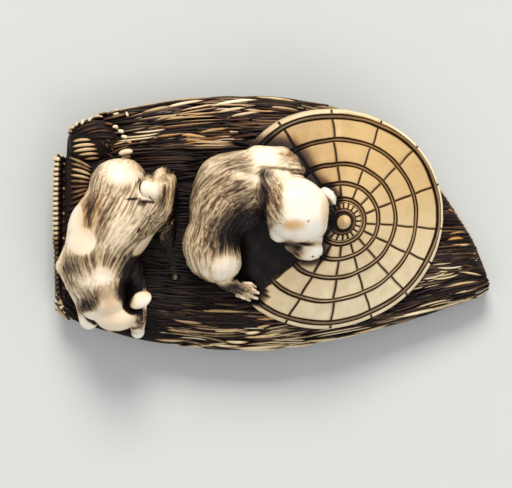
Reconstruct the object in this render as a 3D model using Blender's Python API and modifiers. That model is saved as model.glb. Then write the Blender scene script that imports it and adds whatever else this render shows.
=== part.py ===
"""Netsuke carved from one piece of ivory: two puppies at play on a folded straw rain cape, with a round
ribbed straw hat lying on it, and a channel through the underside for the cord.

Metres, +Z up. +X runs along the cape from its collar to its point. The origin is on the surface that the
netsuke stands on, under the middle of the cape.
"""

import math

import bmesh
import bpy
import numpy as np
from mathutils import Euler, Matrix, Vector

# Driving dimensions
CAPE_LENGTH = 0.0496
CAPE_WIDTH = 0.0291
CAPE_THICKNESS = 0.0088
STRAW_DEPTH = 0.00055
STRAW_PITCH = 0.0016

HAT_DIAMETER = 0.0254
HAT_RISE = 0.0047
HAT_RIM_THICKNESS = 0.0013
HAT_TILT = math.radians(12.0)
HAT_LEAN = math.radians(-41.0)
HAT_RIDGE_HEIGHT = 0.00034
KNOB_HEIGHT = 0.0008

COLLAR_CORD_RADIUS = 0.00082
COLLAR_RIB_PITCH = 0.00068
COLLAR_RIB_DEPTH = 0.00022
FOLD_CORD_RADIUS = 0.00062
FOLD_RIB_PITCH = 0.00102
BEAD_RADIUS = 0.00046

SITTING_PUPPY_LENGTH = 0.0200
CROUCHING_PUPPY_LENGTH = 0.0200

CORD_HOLE_DIAMETER = 0.0032
CORD_HOLE_SPACING = 0.0090

IVORY = (0.80, 0.71, 0.55, 1.0)

# How finely each piece is built
CAPE_SIDES = 220
CAPE_RINGS = 110
CAPE_TRIANGLES = 3800
HAT_STEPS = 36
PUPPY_VOXEL_PARTS = 0.33
PUPPY_TRIANGLES = 1200
SKIN_PASSES = 3

# The cape and the puppies are free forms. They keep their proportions as parts of their own size: a part
# is about one fiftieth of the cape's length, or one twentieth of a puppy's length. Things that lie on the
# cape are placed in its parts.
CAPE_PARTS = Vector((49.6, 29.1, 8.8))
PUPPY_PARTS = 20.0
CAPE_PART = Vector((CAPE_LENGTH / CAPE_PARTS.x, CAPE_WIDTH / CAPE_PARTS.y, CAPE_THICKNESS / CAPE_PARTS.z))

# The cape's far edge, near edge, crest and edge height along its length, in parts
FAR_EDGE = [(-24.7, 6.6), (-23.8, 7.8), (-22.6, 11.2), (-20.0, 12.8), (-15.1, 13.8), (-8.2, 14.4),
            (-1.3, 14.5), (5.0, 13.8), (10.2, 12.3), (13.0, 10.8), (16.0, 8.4), (18.9, 4.3), (21.7, 0.1),
            (24.0, -4.1), (24.9, -6.5)]
NEAR_EDGE = [(-24.7, -9.0), (-23.2, -10.9), (-20.5, -11.9), (-17.4, -12.8), (-12.2, -13.8), (-5.9, -14.5),
             (-2.5, -14.6), (1.0, -14.4), (7.9, -13.2), (14.8, -11.5), (20.5, -9.6), (24.9, -7.5)]
CREST = [(-24.7, 5.0), (-22.0, 6.3), (-16.0, 7.2), (-6.0, 7.8), (2.0, 8.6), (8.0, 7.8), (15.0, 6.2),
         (20.0, 5.0), (24.9, 3.8)]
EDGE_HEIGHT = [(-24.7, 3.2), (0.0, 3.2), (15.0, 2.9), (24.9, 2.4)]
CAPE_GIRTH = 62.0
END_ROUNDING = 2.2
UNDERCUT = 0.9
SWELL_HEIGHT = 1.2
SWELL_CENTRE = (-1.0, 7.0)
SWELL_SPREAD = 4.0

# Where things lie on the cape, in its parts
HAT_PLACE = (7.3, 0.7, 8.0)
SITTING_PUPPY_PLACE = (-2.0, 0.0, 8.4)
CROUCHING_PUPPY_PLACE = (-17.5, 0.0, 8.4)
CORD_CHANNEL_PLACE = (1.5, -1.0, 0.0)
COLLAR_PATH = [(-24.3, 7.0, 4.0), (-24.5, 3.5, 4.4), (-24.5, -0.5, 4.6), (-24.4, -4.5, 4.4),
               (-24.2, -8.2, 3.9), (-23.0, -10.4, 3.5), (-20.8, -11.3, 3.2)]
FOLD_PATH = [(-22.9, 7.4, 4.2), (-23.1, 9.6, 4.5), (-22.3, 11.1, 4.6), (-20.6, 12.0, 4.6), (-18.4, 12.5, 4.5)]
TIE_PATH = [(-19.4, 11.2, 6.8), (-17.7, 10.7, 7.3), (-16.5, 9.6, 7.5), (-16.3, 8.2, 7.5)]
FOLD_CENTRE = Vector((-19.9, 9.5, 5.0))
FOLD_HALF = Vector((3.5, 2.8, 2.2))
FOLD_RIBS = 6
FOLD_RIB_HEIGHT = 0.13

# The hat's raised rings and the joints between a puppy's parts: shares of the hat's radius, and parts
HAT_RINGS = (0.12, 0.225, 0.36, 0.535, 0.735)
RING_HALF_WIDTH = 0.022
BODY_JOINT = 0.38
HEAD_JOINT = 0.3
CRISP_JOINT = 0.1


def on_cape(place):
    """A place given in the cape's parts, in metres."""
    return Vector([a * b for a, b in zip(place, CAPE_PART)])


def fresh_scene():
    for old in list(bpy.data.objects):
        bpy.data.objects.remove(old)


def collection_named(name):
    made = bpy.data.collections.new(name)
    bpy.context.scene.collection.children.link(made)
    return made


def ivory_material():
    material = bpy.data.materials.new("ivory")
    material.use_nodes = True
    shader = material.node_tree.nodes["Principled BSDF"]
    shader.inputs["Base Color"].default_value = IVORY
    shader.inputs["Roughness"].default_value = 0.35
    shader.inputs["Metallic"].default_value = 0.0
    return material


def object_from(bm, name, collection):
    mesh = bpy.data.meshes.new(name)
    bm.to_mesh(mesh)
    bm.free()
    mesh.shade_smooth()
    made = bpy.data.objects.new(name, mesh)
    collection.objects.link(made)
    return made


def as_tool(obj):
    """Marks an object that only shapes another one."""
    obj.hide_render = True
    obj.display_type = "WIRE"
    return obj


def evaluated_copy(obj, name, collection):
    """A new object with the mesh that obj's modifiers make. obj is removed."""
    graph = bpy.context.evaluated_depsgraph_get()
    graph.update()
    mesh = bpy.data.meshes.new_from_object(obj.evaluated_get(graph))
    mesh.shade_smooth()
    made = bpy.data.objects.new(name, mesh)
    made.matrix_world = obj.matrix_world.copy()
    collection.objects.link(made)
    bpy.data.objects.remove(obj)
    return made


def triangle_count(obj):
    obj.data.calc_loop_triangles()
    return len(obj.data.loop_triangles)


def smooth_line(points, x):
    """The height at x of a smooth line through the points, which run from left to right."""
    if x <= points[0][0]:
        return points[0][1]
    if x >= points[-1][0]:
        return points[-1][1]
    i = next(k for k in range(len(points) - 1) if points[k + 1][0] >= x)
    (x0, y0), (x1, y1) = points[i], points[i + 1]
    before = points[max(i - 1, 0)]
    after = points[min(i + 2, len(points) - 1)]
    slope0 = (y1 - before[1]) / (x1 - before[0])
    slope1 = (after[1] - y0) / (after[0] - x0)
    span = x1 - x0
    t = (x - x0) / span
    return (
        (2 * t**3 - 3 * t**2 + 1) * y0
        + (t**3 - 2 * t**2 + t) * span * slope0
        + (3 * t**2 - 2 * t**3) * y1
        + (t**3 - t**2) * span * slope1
    )


def path_point(path, t):
    """The point at share t of a smooth path, as x, y and z each on its own smooth line."""
    last = len(path) - 1
    axes = [[(i / last, point[k]) for i, point in enumerate(path)] for k in range(3)]
    return Vector([smooth_line(axis, t) for axis in axes])


def tube_grid(sides, rings):
    """A capped cylinder with an even grid on its wall, and for each vertex its angle and its share of the
    length."""
    bm = bmesh.new()
    bmesh.ops.create_cone(bm, cap_ends=True, segments=sides, radius1=1, radius2=1, depth=1)
    long_edges = [e for e in bm.edges if abs(e.verts[0].co.z - e.verts[1].co.z) > 0.5]
    bmesh.ops.subdivide_edges(bm, edges=long_edges, cuts=rings - 1, use_grid_fill=True)
    return bm, [(v, math.atan2(v.co.y, v.co.x), v.co.z + 0.5) for v in bm.verts]


def rounded(value, power):
    return math.copysign(abs(value) ** power, value)


def cape_section_point(x, angle, relief=0.0):
    """The cape's surface at station x, in parts. The angle goes round the section: 0 is the far edge and a
    quarter turn is the crest. relief carves the point inwards, in parts."""
    far, near = smooth_line(FAR_EDGE, x), smooth_line(NEAR_EDGE, x)
    centre, half = (far + near) / 2, (far - near) / 2
    crest, edge = smooth_line(CREST, x), smooth_line(EDGE_HEIGHT, x)
    from_end = min(x - FAR_EDGE[0][0], FAR_EDGE[-1][0] - x) / END_ROUNDING
    fullness = 0.45 + 0.55 * math.sqrt(max(0.0, 1 - (1 - min(1.0, from_end)) ** 2))
    y = centre + (half - relief) * rounded(math.cos(angle), 0.9)
    lift = rounded(math.sin(angle), 0.85)
    if lift > 0:
        swell = SWELL_HEIGHT * math.exp(
            -((x - SWELL_CENTRE[0]) ** 2 + (y - SWELL_CENTRE[1]) ** 2) / (2 * SWELL_SPREAD**2)
        )
        z = edge + (crest + swell - relief - edge) * fullness * lift
    else:
        z = max(0.0, edge + (edge + UNDERCUT) * fullness * lift)
    return on_cape((x, y, z))


def straw_relief(x, angle):
    """How deep the straw is carved, in parts: long locks that start and end at different places."""
    around = (angle + math.pi) / (2 * math.pi)
    lane = around * CAPE_GIRTH * CAPE_PART.y / STRAW_PITCH + 0.35 * math.sin(x * 0.45 + 7 * around * math.pi)
    number = math.floor(lane)
    across = lane - number
    ridge = 1 - (2 * across - 1) ** 2
    start = 5.0 * math.sin(number * 2.4)
    along = 0.5 + 0.5 * math.cos((x + start) * 0.55 + number * 1.7)
    return STRAW_DEPTH / CAPE_PART.x * (1 - ridge * (0.35 + 0.65 * along))


def make_cape(collection):
    """The folded rain cape: a long section swept from the collar to the point, with locks of straw."""
    bm, places = tube_grid(CAPE_SIDES, CAPE_RINGS)
    left, right = FAR_EDGE[0][0], FAR_EDGE[-1][0]
    for vertex, angle, share in places:
        x = left + (right - left) * share
        flat = cape_section_point(x, angle).z <= 1e-6
        vertex.co = cape_section_point(x, angle, 0.0 if flat else straw_relief(x, angle))
    bmesh.ops.recalc_face_normals(bm, faces=bm.faces)
    cape = object_from(bm, "cape_fine", collection)
    thin = cape.modifiers.new("fewer faces", "DECIMATE")
    thin.ratio = CAPE_TRIANGLES / triangle_count(cape)
    return evaluated_copy(cape, "cape", collection)


def make_cord(name, path, radius, pitch, sides, collection):
    """A ribbed cord laid along a path on the cape: rings of a tube that swell at each rib."""
    points = [on_cape(point) for point in path]
    length = sum((points[i + 1] - points[i]).length for i in range(len(points) - 1))
    ribs = max(2, round(length / pitch))
    bm, places = tube_grid(sides=sides, rings=ribs * 2)
    for vertex, angle, share in places:
        centre = path_point(points, share)
        ahead = path_point(points, min(1.0, share + 0.01)) - path_point(points, max(0.0, share - 0.01))
        side = ahead.cross(Vector((0, 0, 1))).normalized()
        up = side.cross(ahead).normalized()
        swell = 0.5 - 0.5 * math.cos(2 * math.pi * share * ribs)
        reach = radius - COLLAR_RIB_DEPTH * (1 - swell)
        vertex.co = centre + (side * math.cos(angle) + up * math.sin(angle)) * reach
    bmesh.ops.recalc_face_normals(bm, faces=bm.faces)
    return as_tool(object_from(bm, name, collection))


def make_collar(collection):
    """The bound collar at the left end: its ribbed edge cord, the folded corner, that corner's edge cord
    and the beaded tie."""
    edge = make_cord("collar_cord", COLLAR_PATH, COLLAR_CORD_RADIUS, COLLAR_RIB_PITCH, 6, collection)
    fold_edge = make_cord("fold_cord", FOLD_PATH, FOLD_CORD_RADIUS, FOLD_RIB_PITCH, 6, collection)
    tie = make_cord("tie_cord", TIE_PATH, BEAD_RADIUS, 2 * BEAD_RADIUS, 8, collection)
    fold = bmesh.new()
    bmesh.ops.create_uvsphere(fold, u_segments=24, v_segments=10, radius=1)
    for vertex in fold.verts:
        x, y, z = [rounded(value, 0.77) for value in vertex.co]
        lift = FOLD_HALF.z + FOLD_RIB_HEIGHT * math.cos(math.pi * y * FOLD_RIBS)
        offset = Vector((FOLD_HALF.x * x + 0.5 * y, FOLD_HALF.y * y + 0.35 * x, lift * z))
        vertex.co = on_cape(FOLD_CENTRE + offset)
    return [edge, fold_edge, tie, as_tool(object_from(fold, "corner_fold", collection))]


def hat_profile():
    """The hat's turned section from the knob down to the rim, then under it to the axis."""
    radius = HAT_DIAMETER / 2

    def cone(share):
        return HAT_RISE * (1 - share) * (1 + 0.25 * share)

    points = [(0.0, cone(0) + KNOB_HEIGHT), (radius * 0.045, cone(0) + KNOB_HEIGHT * 0.75)]
    points.append((radius * 0.07, cone(0.07)))
    for share in HAT_RINGS:
        inner, outer = share - RING_HALF_WIDTH, share + RING_HALF_WIDTH
        points.append((radius * inner, cone(inner)))
        points.append((radius * share, cone(share) + HAT_RIDGE_HEIGHT))
        points.append((radius * outer, cone(outer)))
    points += [
        (radius * 0.925, cone(0.925)),
        (radius * 0.945, cone(0.945) + HAT_RIDGE_HEIGHT),
        (radius * 0.985, cone(0.985) + HAT_RIDGE_HEIGHT * 0.6),
        (radius, -HAT_RIM_THICKNESS * 0.3),
        (radius * 0.985, -HAT_RIM_THICKNESS),
        (radius * 0.86, -HAT_RIM_THICKNESS * 1.5),
        (radius * 0.70, -HAT_RIM_THICKNESS * 4.5),
        (0.0, -HAT_RIM_THICKNESS * 4.5),
    ]
    return points


def make_hat(collection):
    """The round straw hat: a turned cone with raised rings, tilted down towards the near right."""
    bm = bmesh.new()
    verts = [bm.verts.new((r, 0, z)) for r, z in hat_profile()]
    for a, b in zip(verts, verts[1:]):
        bm.edges.new((a, b))
    hat = object_from(bm, "hat_profile", collection)
    turn = hat.modifiers.new("turned", "SCREW")
    turn.steps = turn.render_steps = HAT_STEPS
    turn.use_merge_vertices = True
    turn.merge_threshold = 0.00002
    turn.use_normal_calculate = True
    tilt_axis = Vector((-math.sin(HAT_LEAN), math.cos(HAT_LEAN), 0))
    hat.matrix_world = Matrix.Translation(on_cape(HAT_PLACE)) @ Matrix.Rotation(HAT_TILT, 4, tilt_axis)
    bpy.context.view_layer.update()
    return as_tool(evaluated_copy(hat, "hat", collection))


def add_blob(bm, centre, radii, turn=(0, 0, 0)):
    """An ellipsoid: centre, radii and turn in degrees."""
    made = bmesh.ops.create_uvsphere(bm, u_segments=24, v_segments=14, radius=1)
    angles = [math.radians(a) for a in turn]
    place = Matrix.Translation(centre) @ Euler(angles).to_matrix().to_4x4() @ Matrix.Diagonal((*radii, 1))
    bmesh.ops.transform(bm, matrix=place, verts=made["verts"])


def add_limb(bm, points, radii):
    """A tapering limb through the points: round joints with cones between them."""
    for (a, b), (r0, r1) in zip(zip(points, points[1:]), zip(radii, radii[1:])):
        a, b = Vector(a), Vector(b)
        add_blob(bm, a, (r0, r0, r0))
        add_blob(bm, b, (r1, r1, r1))
        made = bmesh.ops.create_cone(
            bm, cap_ends=True, segments=20, radius1=r0, radius2=r1, depth=(b - a).length
        )
        turn = Vector((0, 0, 1)).rotation_difference(b - a).to_matrix().to_4x4()
        bmesh.ops.transform(bm, matrix=Matrix.Translation((a + b) / 2) @ turn, verts=made["verts"])


def blob_distance(at, centre, radii, turn=(0, 0, 0)):
    """About how far each point is outside an ellipsoid."""
    rotation = np.array(Euler([math.radians(a) for a in turn]).to_matrix())
    local = (at - np.array(centre)) @ rotation
    reach = np.linalg.norm(local / radii, axis=1)
    slope = np.linalg.norm(local / np.square(radii), axis=1)
    return reach * (reach - 1) / np.maximum(slope, 1e-9)


def limb_distance(at, a, b, r0, r1):
    """How far each point is outside a tapering length of limb."""
    a, b = np.array(a), np.array(b)
    share = np.clip((at - a) @ (b - a) / np.dot(b - a, b - a), 0, 1)
    return np.linalg.norm(at - a - share[:, None] * (b - a), axis=1) - (r0 + (r1 - r0) * share)


def flow_together(distances, softness):
    """The distance to several masses that flow into one another."""
    nearest = np.min(distances, axis=0)
    return nearest - softness * np.log(np.sum(np.exp((nearest - distances) / softness), axis=0))


def puppy_distance(at, groups):
    """The distance to a whole puppy: soft joints inside each group, crisp ones between the groups."""
    each_group = []
    for softness, blobs, limbs in groups:
        distances = [blob_distance(at, *blob) for blob in blobs.values()]
        for points, radii in limbs.values():
            for i in range(len(points) - 1):
                distances.append(limb_distance(at, points[i], points[i + 1], radii[i], radii[i + 1]))
        each_group.append(flow_together(np.array(distances), softness))
    return flow_together(np.array(each_group), CRISP_JOINT)


def make_puppy(name, place, length, groups, collection):
    """A puppy from overlapping rounded masses: fused into one skin, drawn out onto the smooth shape that
    the masses make when they flow together, then reduced."""
    bm = bmesh.new()
    for softness, blobs, limbs in groups:
        for blob in blobs.values():
            add_blob(bm, *blob)
        for points, radii in limbs.values():
            add_limb(bm, points, radii)
    part, anchor = length / PUPPY_PARTS, on_cape(place)
    bmesh.ops.transform(bm, matrix=Matrix.Translation(anchor) @ Matrix.Scale(part, 4), verts=bm.verts)
    rough = object_from(bm, name + "_masses", collection)
    fuse = rough.modifiers.new("one skin", "REMESH")
    fuse.mode = "VOXEL"
    fuse.voxel_size = PUPPY_VOXEL_PARTS * part
    skin = evaluated_copy(rough, name + "_skin", collection)

    corners = np.empty(len(skin.data.vertices) * 3)
    skin.data.vertices.foreach_get("co", corners)
    at = (corners.reshape(-1, 3) - np.array(anchor)) / part
    step = 0.02
    for _ in range(SKIN_PASSES):
        outside = puppy_distance(at, groups)
        nearby = [puppy_distance(at + step * axis, groups) for axis in np.eye(3)]
        slope = (np.array(nearby).T - outside[:, None]) / step
        at -= slope * (outside / np.maximum(np.sum(slope**2, axis=1), 0.25))[:, None]
    skin.data.vertices.foreach_set("co", (at * part + np.array(anchor)).ravel())
    skin.data.update()

    thin = skin.modifiers.new("fewer faces", "DECIMATE")
    thin.ratio = PUPPY_TRIANGLES / triangle_count(skin)
    return as_tool(evaluated_copy(skin, name, collection))


def make_sitting_puppy(collection):
    """The puppy that leans over the hat: its back curls round and its head is bent down."""
    body = {
        "rump": ((-5.0, -2.4, 0.9), (3.3, 3.6, 3.9)),
        "knee": ((-4.1, -4.6, 1.2), (2.6, 2.1, 2.9)),
        "loin": ((-4.2, 1.8, 1.3), (3.2, 4.0, 4.0)),
        "back": ((-1.6, 4.4, 1.4), (3.9, 3.5, 4.3)),
        "shoulder": ((1.0, 6.4, 2.0), (3.2, 2.0, 2.8)),
        "chest": ((1.8, 4.0, 1.2), (3.6, 3.4, 4.2)),
        "flank": ((-1.6, 1.2, 0.0), (3.2, 3.0, 3.3)),
        "belly": ((-1.9, -1.6, -1.3), (2.4, 2.2, 1.9)),
        "neck": ((2.6, 3.0, 2.6), (2.8, 3.0, 3.0)),
    }
    head = {
        "crown": ((5.0, 2.1, 3.9), (3.6, 3.8, 3.5)),
        "brow": ((5.2, -0.3, 3.5), (3.0, 1.9, 2.4)),
        "bridge": ((6.3, -1.9, 2.5), (1.4, 1.5, 1.3)),
        "muzzle": ((6.5, -3.0, 1.8), (1.75, 1.25, 1.3), (0, 0, 10)),
        "cheek": ((4.4, -2.4, 1.8), (1.2, 1.1, 1.2)),
    }
    ears = {
        "near_ear": ((2.95, -1.15, 3.6), (1.15, 1.05, 0.75), (0, 10, 0)),
        "far_ear": ((8.7, 2.9, 2.7), (0.8, 1.6, 0.65), (0, 25, 35)),
        "tail": ((-6.5, -4.5, -0.7), (1.0, 1.9, 0.9), (0, 0, 30)),
    }
    legs = {
        "hind_foot": ([(-3.6, -6.2, 0.4), (-2.4, -7.2, 0.0), (-0.3, -8.0, -0.3)], [1.2, 1.0, 0.75]),
        "far_foreleg": ([(0.5, 6.9, 3.0), (3.2, 7.3, 2.8), (5.4, 6.7, 2.2), (7.2, 5.2, 1.6)],
                        [1.8, 1.3, 1.1, 0.9]),
        "near_foreleg": ([(2.2, 0.2, 0.9), (3.6, -2.4, 0.4), (4.6, -3.9, 0.2)], [1.7, 1.2, 0.9]),
    }
    groups = [(BODY_JOINT, body, {}), (HEAD_JOINT, head, {}), (CRISP_JOINT, ears, legs)]
    return make_puppy("sitting_puppy", SITTING_PUPPY_PLACE, SITTING_PUPPY_LENGTH, groups, collection)


def make_crouching_puppy(collection):
    """The puppy at the collar end: it lies on its belly with its head over the cape's near edge and its
    tail curled over its back."""
    body = {
        "left_haunch": ((-0.2, 4.7, 0.8), (3.0, 2.9, 3.5)),
        "right_haunch": ((4.9, 2.7, 0.3), (1.9, 3.6, 3.1), (0, 0, -12)),
        "rump": ((2.2, 2.4, 0.5), (3.2, 2.8, 3.3)),
        "loin": ((0.0, 0.2, 1.0), (4.4, 4.6, 3.9)),
        "shoulders": ((-1.7, -3.3, 0.6), (4.0, 3.8, 3.4)),
        "neck": ((-1.5, -5.2, 0.8), (3.0, 2.6, 2.8)),
    }
    head = {
        "crown": ((-1.5, -6.6, 1.0), (2.6, 2.5, 2.4)),
        "forehead": ((-1.0, -8.6, 0.4), (1.9, 2.0, 1.9)),
        "muzzle": ((-0.2, -11.0, -0.6), (2.4, 1.5, 1.6), (0, 0, -4)),
        "right_cheek": ((1.7, -10.9, -1.0), (1.1, 1.0, 1.2)),
        "left_cheek": ((-2.6, -9.4, -0.6), (1.3, 1.6, 1.4)),
    }
    ears = {
        "right_ear": ((2.5, -8.75, 1.2), (1.35, 0.95, 0.65), (0, 0, 15)),
        "left_ear": ((-4.0, -7.0, 0.5), (1.2, 2.2, 0.75), (0, -25, 25)),
        "tail": ((3.5, 3.7, 3.2), (1.3, 1.15, 1.3)),
    }
    legs = {
        "left_foreleg": ([(-5.4, -2.2, -0.4), (-5.85, -4.3, -1.0), (-4.3, -7.0, -1.5), (-3.4, -9.2, -2.0),
                          (-3.25, -11.1, -2.4)], [1.7, 1.25, 1.1, 1.0, 1.1]),
        "right_foreleg": ([(1.5, -4.6, -0.8), (2.5, -8.4, -1.8), (2.2, -12.6, -2.8)], [1.5, 1.2, 0.9]),
        "right_hind_foot": ([(5.3, -0.2, -0.8), (6.1, -3.2, -0.8), (6.4, -6.0, -0.9)], [1.5, 1.0, 0.85]),
    }
    groups = [(BODY_JOINT, body, {}), (HEAD_JOINT, head, {}), (CRISP_JOINT, ears, legs)]
    return make_puppy("crouching_puppy", CROUCHING_PUPPY_PLACE, CROUCHING_PUPPY_LENGTH, groups, collection)


def make_cord_channel(collection):
    """The cutter for the cord channel: a ring half sunk in the underside, so that its two mouths are as
    far apart as the cord holes."""
    bpy.ops.mesh.primitive_torus_add(
        major_segments=24,
        minor_segments=12,
        major_radius=CORD_HOLE_SPACING / 2,
        minor_radius=CORD_HOLE_DIAMETER / 2,
        location=on_cape(CORD_CHANNEL_PLACE),
        rotation=(math.pi / 2, 0, 0),
    )
    channel = bpy.context.object
    channel.name = "cord_channel"
    for owner in list(channel.users_collection):
        owner.objects.unlink(channel)
    collection.objects.link(channel)
    return as_tool(channel)


def main():
    fresh_scene()
    parts = collection_named("netsuke")
    tools = collection_named("cutters")
    masses = make_collar(tools)
    masses += [make_hat(tools), make_sitting_puppy(tools), make_crouching_puppy(tools)]
    channel = make_cord_channel(tools)
    netsuke = make_cape(parts)
    netsuke.name = "netsuke"
    for mass in masses:
        join = netsuke.modifiers.new("with " + mass.name, "BOOLEAN")
        join.operation = "UNION"
        join.object = mass
    cut = netsuke.modifiers.new("cord channel", "BOOLEAN")
    cut.operation = "DIFFERENCE"
    cut.object = channel
    netsuke.data.materials.append(ivory_material())


main()
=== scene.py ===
# %% [markdown]
# # Two puppies on a straw rain cape
# A netsuke is the carved toggle that kept a pouch hanging from a sash. This one is a single piece of ivory,
# 50 mm long, that lies flat: a folded straw rain cape, a round straw hat on top of it, and two puppies at
# play. The carver cut everything in relief, rubbed dark stain over it and polished the high places bare.
#
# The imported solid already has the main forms. This script dresses it with what a solid with few faces can't
# hold: straws, stitched bindings, the hat's panels, fur, toes, eyes, and the stain in the hollows. It works
# in the solid's own frame: +X from the collar to the cape's point, +Z up, the underside at zero.

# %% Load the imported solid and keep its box
import math

import bmesh
import bpy
import numpy as np
from mathutils import Euler, Matrix, Vector


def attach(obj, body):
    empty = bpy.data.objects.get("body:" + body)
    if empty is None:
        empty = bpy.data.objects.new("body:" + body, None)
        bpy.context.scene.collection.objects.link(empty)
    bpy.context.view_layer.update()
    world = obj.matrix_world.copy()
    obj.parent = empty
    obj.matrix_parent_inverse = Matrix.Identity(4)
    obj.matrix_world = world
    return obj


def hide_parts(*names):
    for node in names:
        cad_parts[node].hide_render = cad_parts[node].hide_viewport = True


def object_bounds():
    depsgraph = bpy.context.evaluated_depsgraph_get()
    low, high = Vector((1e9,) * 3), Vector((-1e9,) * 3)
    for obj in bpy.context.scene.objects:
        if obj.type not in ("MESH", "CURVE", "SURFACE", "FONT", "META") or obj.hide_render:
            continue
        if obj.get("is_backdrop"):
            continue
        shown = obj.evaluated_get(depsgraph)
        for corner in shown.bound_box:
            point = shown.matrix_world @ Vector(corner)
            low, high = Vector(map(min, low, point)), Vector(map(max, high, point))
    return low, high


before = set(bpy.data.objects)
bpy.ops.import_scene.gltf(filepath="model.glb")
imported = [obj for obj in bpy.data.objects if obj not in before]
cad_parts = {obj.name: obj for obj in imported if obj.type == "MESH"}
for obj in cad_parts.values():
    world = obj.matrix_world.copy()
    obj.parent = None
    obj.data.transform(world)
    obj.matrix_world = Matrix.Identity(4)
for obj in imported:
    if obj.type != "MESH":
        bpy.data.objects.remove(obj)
solid_box = [list(corner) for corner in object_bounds()]
scene = bpy.context.scene
MM = 0.001
print("solid box, mm:", [[round(value / MM, 1) for value in corner] for corner in solid_box])

# %% [markdown]
# ## Places and sizes
# Everything is laid out in millimetres on the cape. The cape's two long edges, its crest and the height of
# its widest line are smooth lines through a few points, read at any x. They are the same lines that shape
# the solid, with a few more points at the collar, so the dressed surface lies where the solid's surface lies.

# %% The cape's lines
FAR_EDGE = [(-24.7, 6.6), (-24.0, 7.5), (-23.4, 8.1), (-23.3, 9.9), (-22.9, 10.7), (-22.2, 11.4),
            (-20.2, 12.2), (-18.4, 12.8), (-15.1, 13.5), (-8.2, 14.4), (-1.3, 14.5), (5.0, 13.8),
            (10.2, 12.3), (13.0, 10.8), (16.0, 8.4), (18.9, 4.3), (21.7, 0.0), (22.9, -2.0),
            (24.1, -4.9), (24.75, -6.4)]
NEAR_EDGE = [(-24.7, -9.0), (-23.2, -10.9), (-20.5, -11.9), (-17.4, -12.8), (-12.2, -13.8), (-5.9, -14.5),
             (-2.5, -14.6), (1.0, -14.4), (7.9, -13.2), (14.8, -11.5), (20.5, -9.6), (23.5, -8.6),
             (24.75, -7.8)]
CREST = [(-24.7, 5.0), (-22.0, 6.3), (-16.0, 7.2), (-6.0, 7.8), (2.0, 8.6), (8.0, 7.8), (15.0, 6.2),
         (20.0, 5.0), (24.9, 3.8)]
STRAW_GUIDE = FAR_EDGE[:12] + [(10.0, 12.7), (15.0, 11.6), (20.0, 9.9), (24.75, 8.0)]
EDGE_HEIGHT = [(-24.7, 3.2), (0.0, 3.2), (15.0, 2.9), (24.9, 2.4)]
END_ROUNDING = 2.2
SIDE_POWER = 0.9
CREST_POWER = 0.85
UNDERCUT = 0.9
SWELL_HEIGHT = 1.2
SWELL_CENTRE = (-1.0, 7.0)
SWELL_SPREAD = 4.0


def smooth_line(points, x):
    """Reads a smooth line through the points at every x."""
    xs, ys = np.array(points, float).T
    rise = np.append(ys[1:], ys[-1]) - np.append(ys[0], ys[:-1])
    run = np.append(xs[1:], xs[-1]) - np.append(xs[0], xs[:-1])
    slope = rise / run
    x = np.clip(x, xs[0], xs[-1])
    i = np.clip(np.searchsorted(xs, x) - 1, 0, len(xs) - 2)
    span = xs[i + 1] - xs[i]
    t = (x - xs[i]) / span
    bow = (2 * t**3 - 3 * t**2 + 1) * ys[i] + (3 * t**2 - 2 * t**3) * ys[i + 1]
    return bow + (t**3 - 2 * t**2 + t) * span * slope[i] + (t**3 - t**2) * span * slope[i + 1]


def rounded(value, power):
    """A power that keeps the sign. Below 1 it squares a circle off a little."""
    return np.sign(value) * np.abs(value) ** power


def fullness(x):
    """How full the section is: it rounds off towards both ends of the cape."""
    from_end = np.minimum(x - FAR_EDGE[0][0], FAR_EDGE[-1][0] - x) / END_ROUNDING
    return 0.45 + 0.55 * np.sqrt(np.clip(1 - (1 - np.clip(from_end, 0, 1)) ** 2, 0, 1))


def cape_point(x, angle, carve=0.0):
    """The cape's surface in millimetres. The angle goes round the section, from 0 at the far edge over the
    crest at a quarter turn. carve sinks the point below the surface."""
    far, near = smooth_line(FAR_EDGE, x), smooth_line(NEAR_EDGE, x)
    crest, edge = smooth_line(CREST, x), smooth_line(EDGE_HEIGHT, x)
    y = (far + near) / 2 + ((far - near) / 2 - carve) * rounded(np.cos(angle), SIDE_POWER)
    lift = rounded(np.sin(angle), CREST_POWER)
    apart = (x - SWELL_CENTRE[0]) ** 2 + (y - SWELL_CENTRE[1]) ** 2
    swell = SWELL_HEIGHT * np.exp(-apart / (2 * SWELL_SPREAD**2))
    upper = edge + (crest + swell - carve - edge) * fullness(x) * lift
    lower = np.maximum(0.0, edge + (edge + UNDERCUT) * fullness(x) * lift)
    return np.stack([x, y, np.where(lift > 0, upper, lower)], axis=-1)


def cape_angle(x, y):
    """The angle round the section that lies over a place on the table."""
    far, near = smooth_line(FAR_EDGE, x), smooth_line(NEAR_EDGE, x)
    across = np.clip((y - (far + near) / 2) / ((far - near) / 2), -1, 1)
    return np.arccos(rounded(across, 1 / SIDE_POWER))


def cape_top(x, y):
    """The height of the cape's upper surface over a place on the table."""
    return cape_point(x, cape_angle(x, y))[..., 2]


print("cape height at its middle, mm:", round(float(cape_top(np.array([0.0]), np.array([0.0]))[0]), 2))

# %% [markdown]
# ## Tools used for every piece
# Most pieces start as the same thing: a capped cylinder with an even grid on its wall, made by bmesh. Each
# vertex knows how far round it is and how far along, and a piece gives those two numbers a new place. A
# straw, a cord, the hat and the cape are all such a grid, bent in different ways.

# %% A grid to bend
def mesh_from(bm, name):
    """Turns a bmesh into a mesh and lets the bmesh go."""
    mesh = bpy.data.meshes.new(name)
    bm.to_mesh(mesh)
    bm.free()
    return mesh


def add_object(name, data):
    """Puts a mesh, a light or a camera into the scene."""
    obj = bpy.data.objects.new(name, data)
    scene.collection.objects.link(obj)
    return obj


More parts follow.
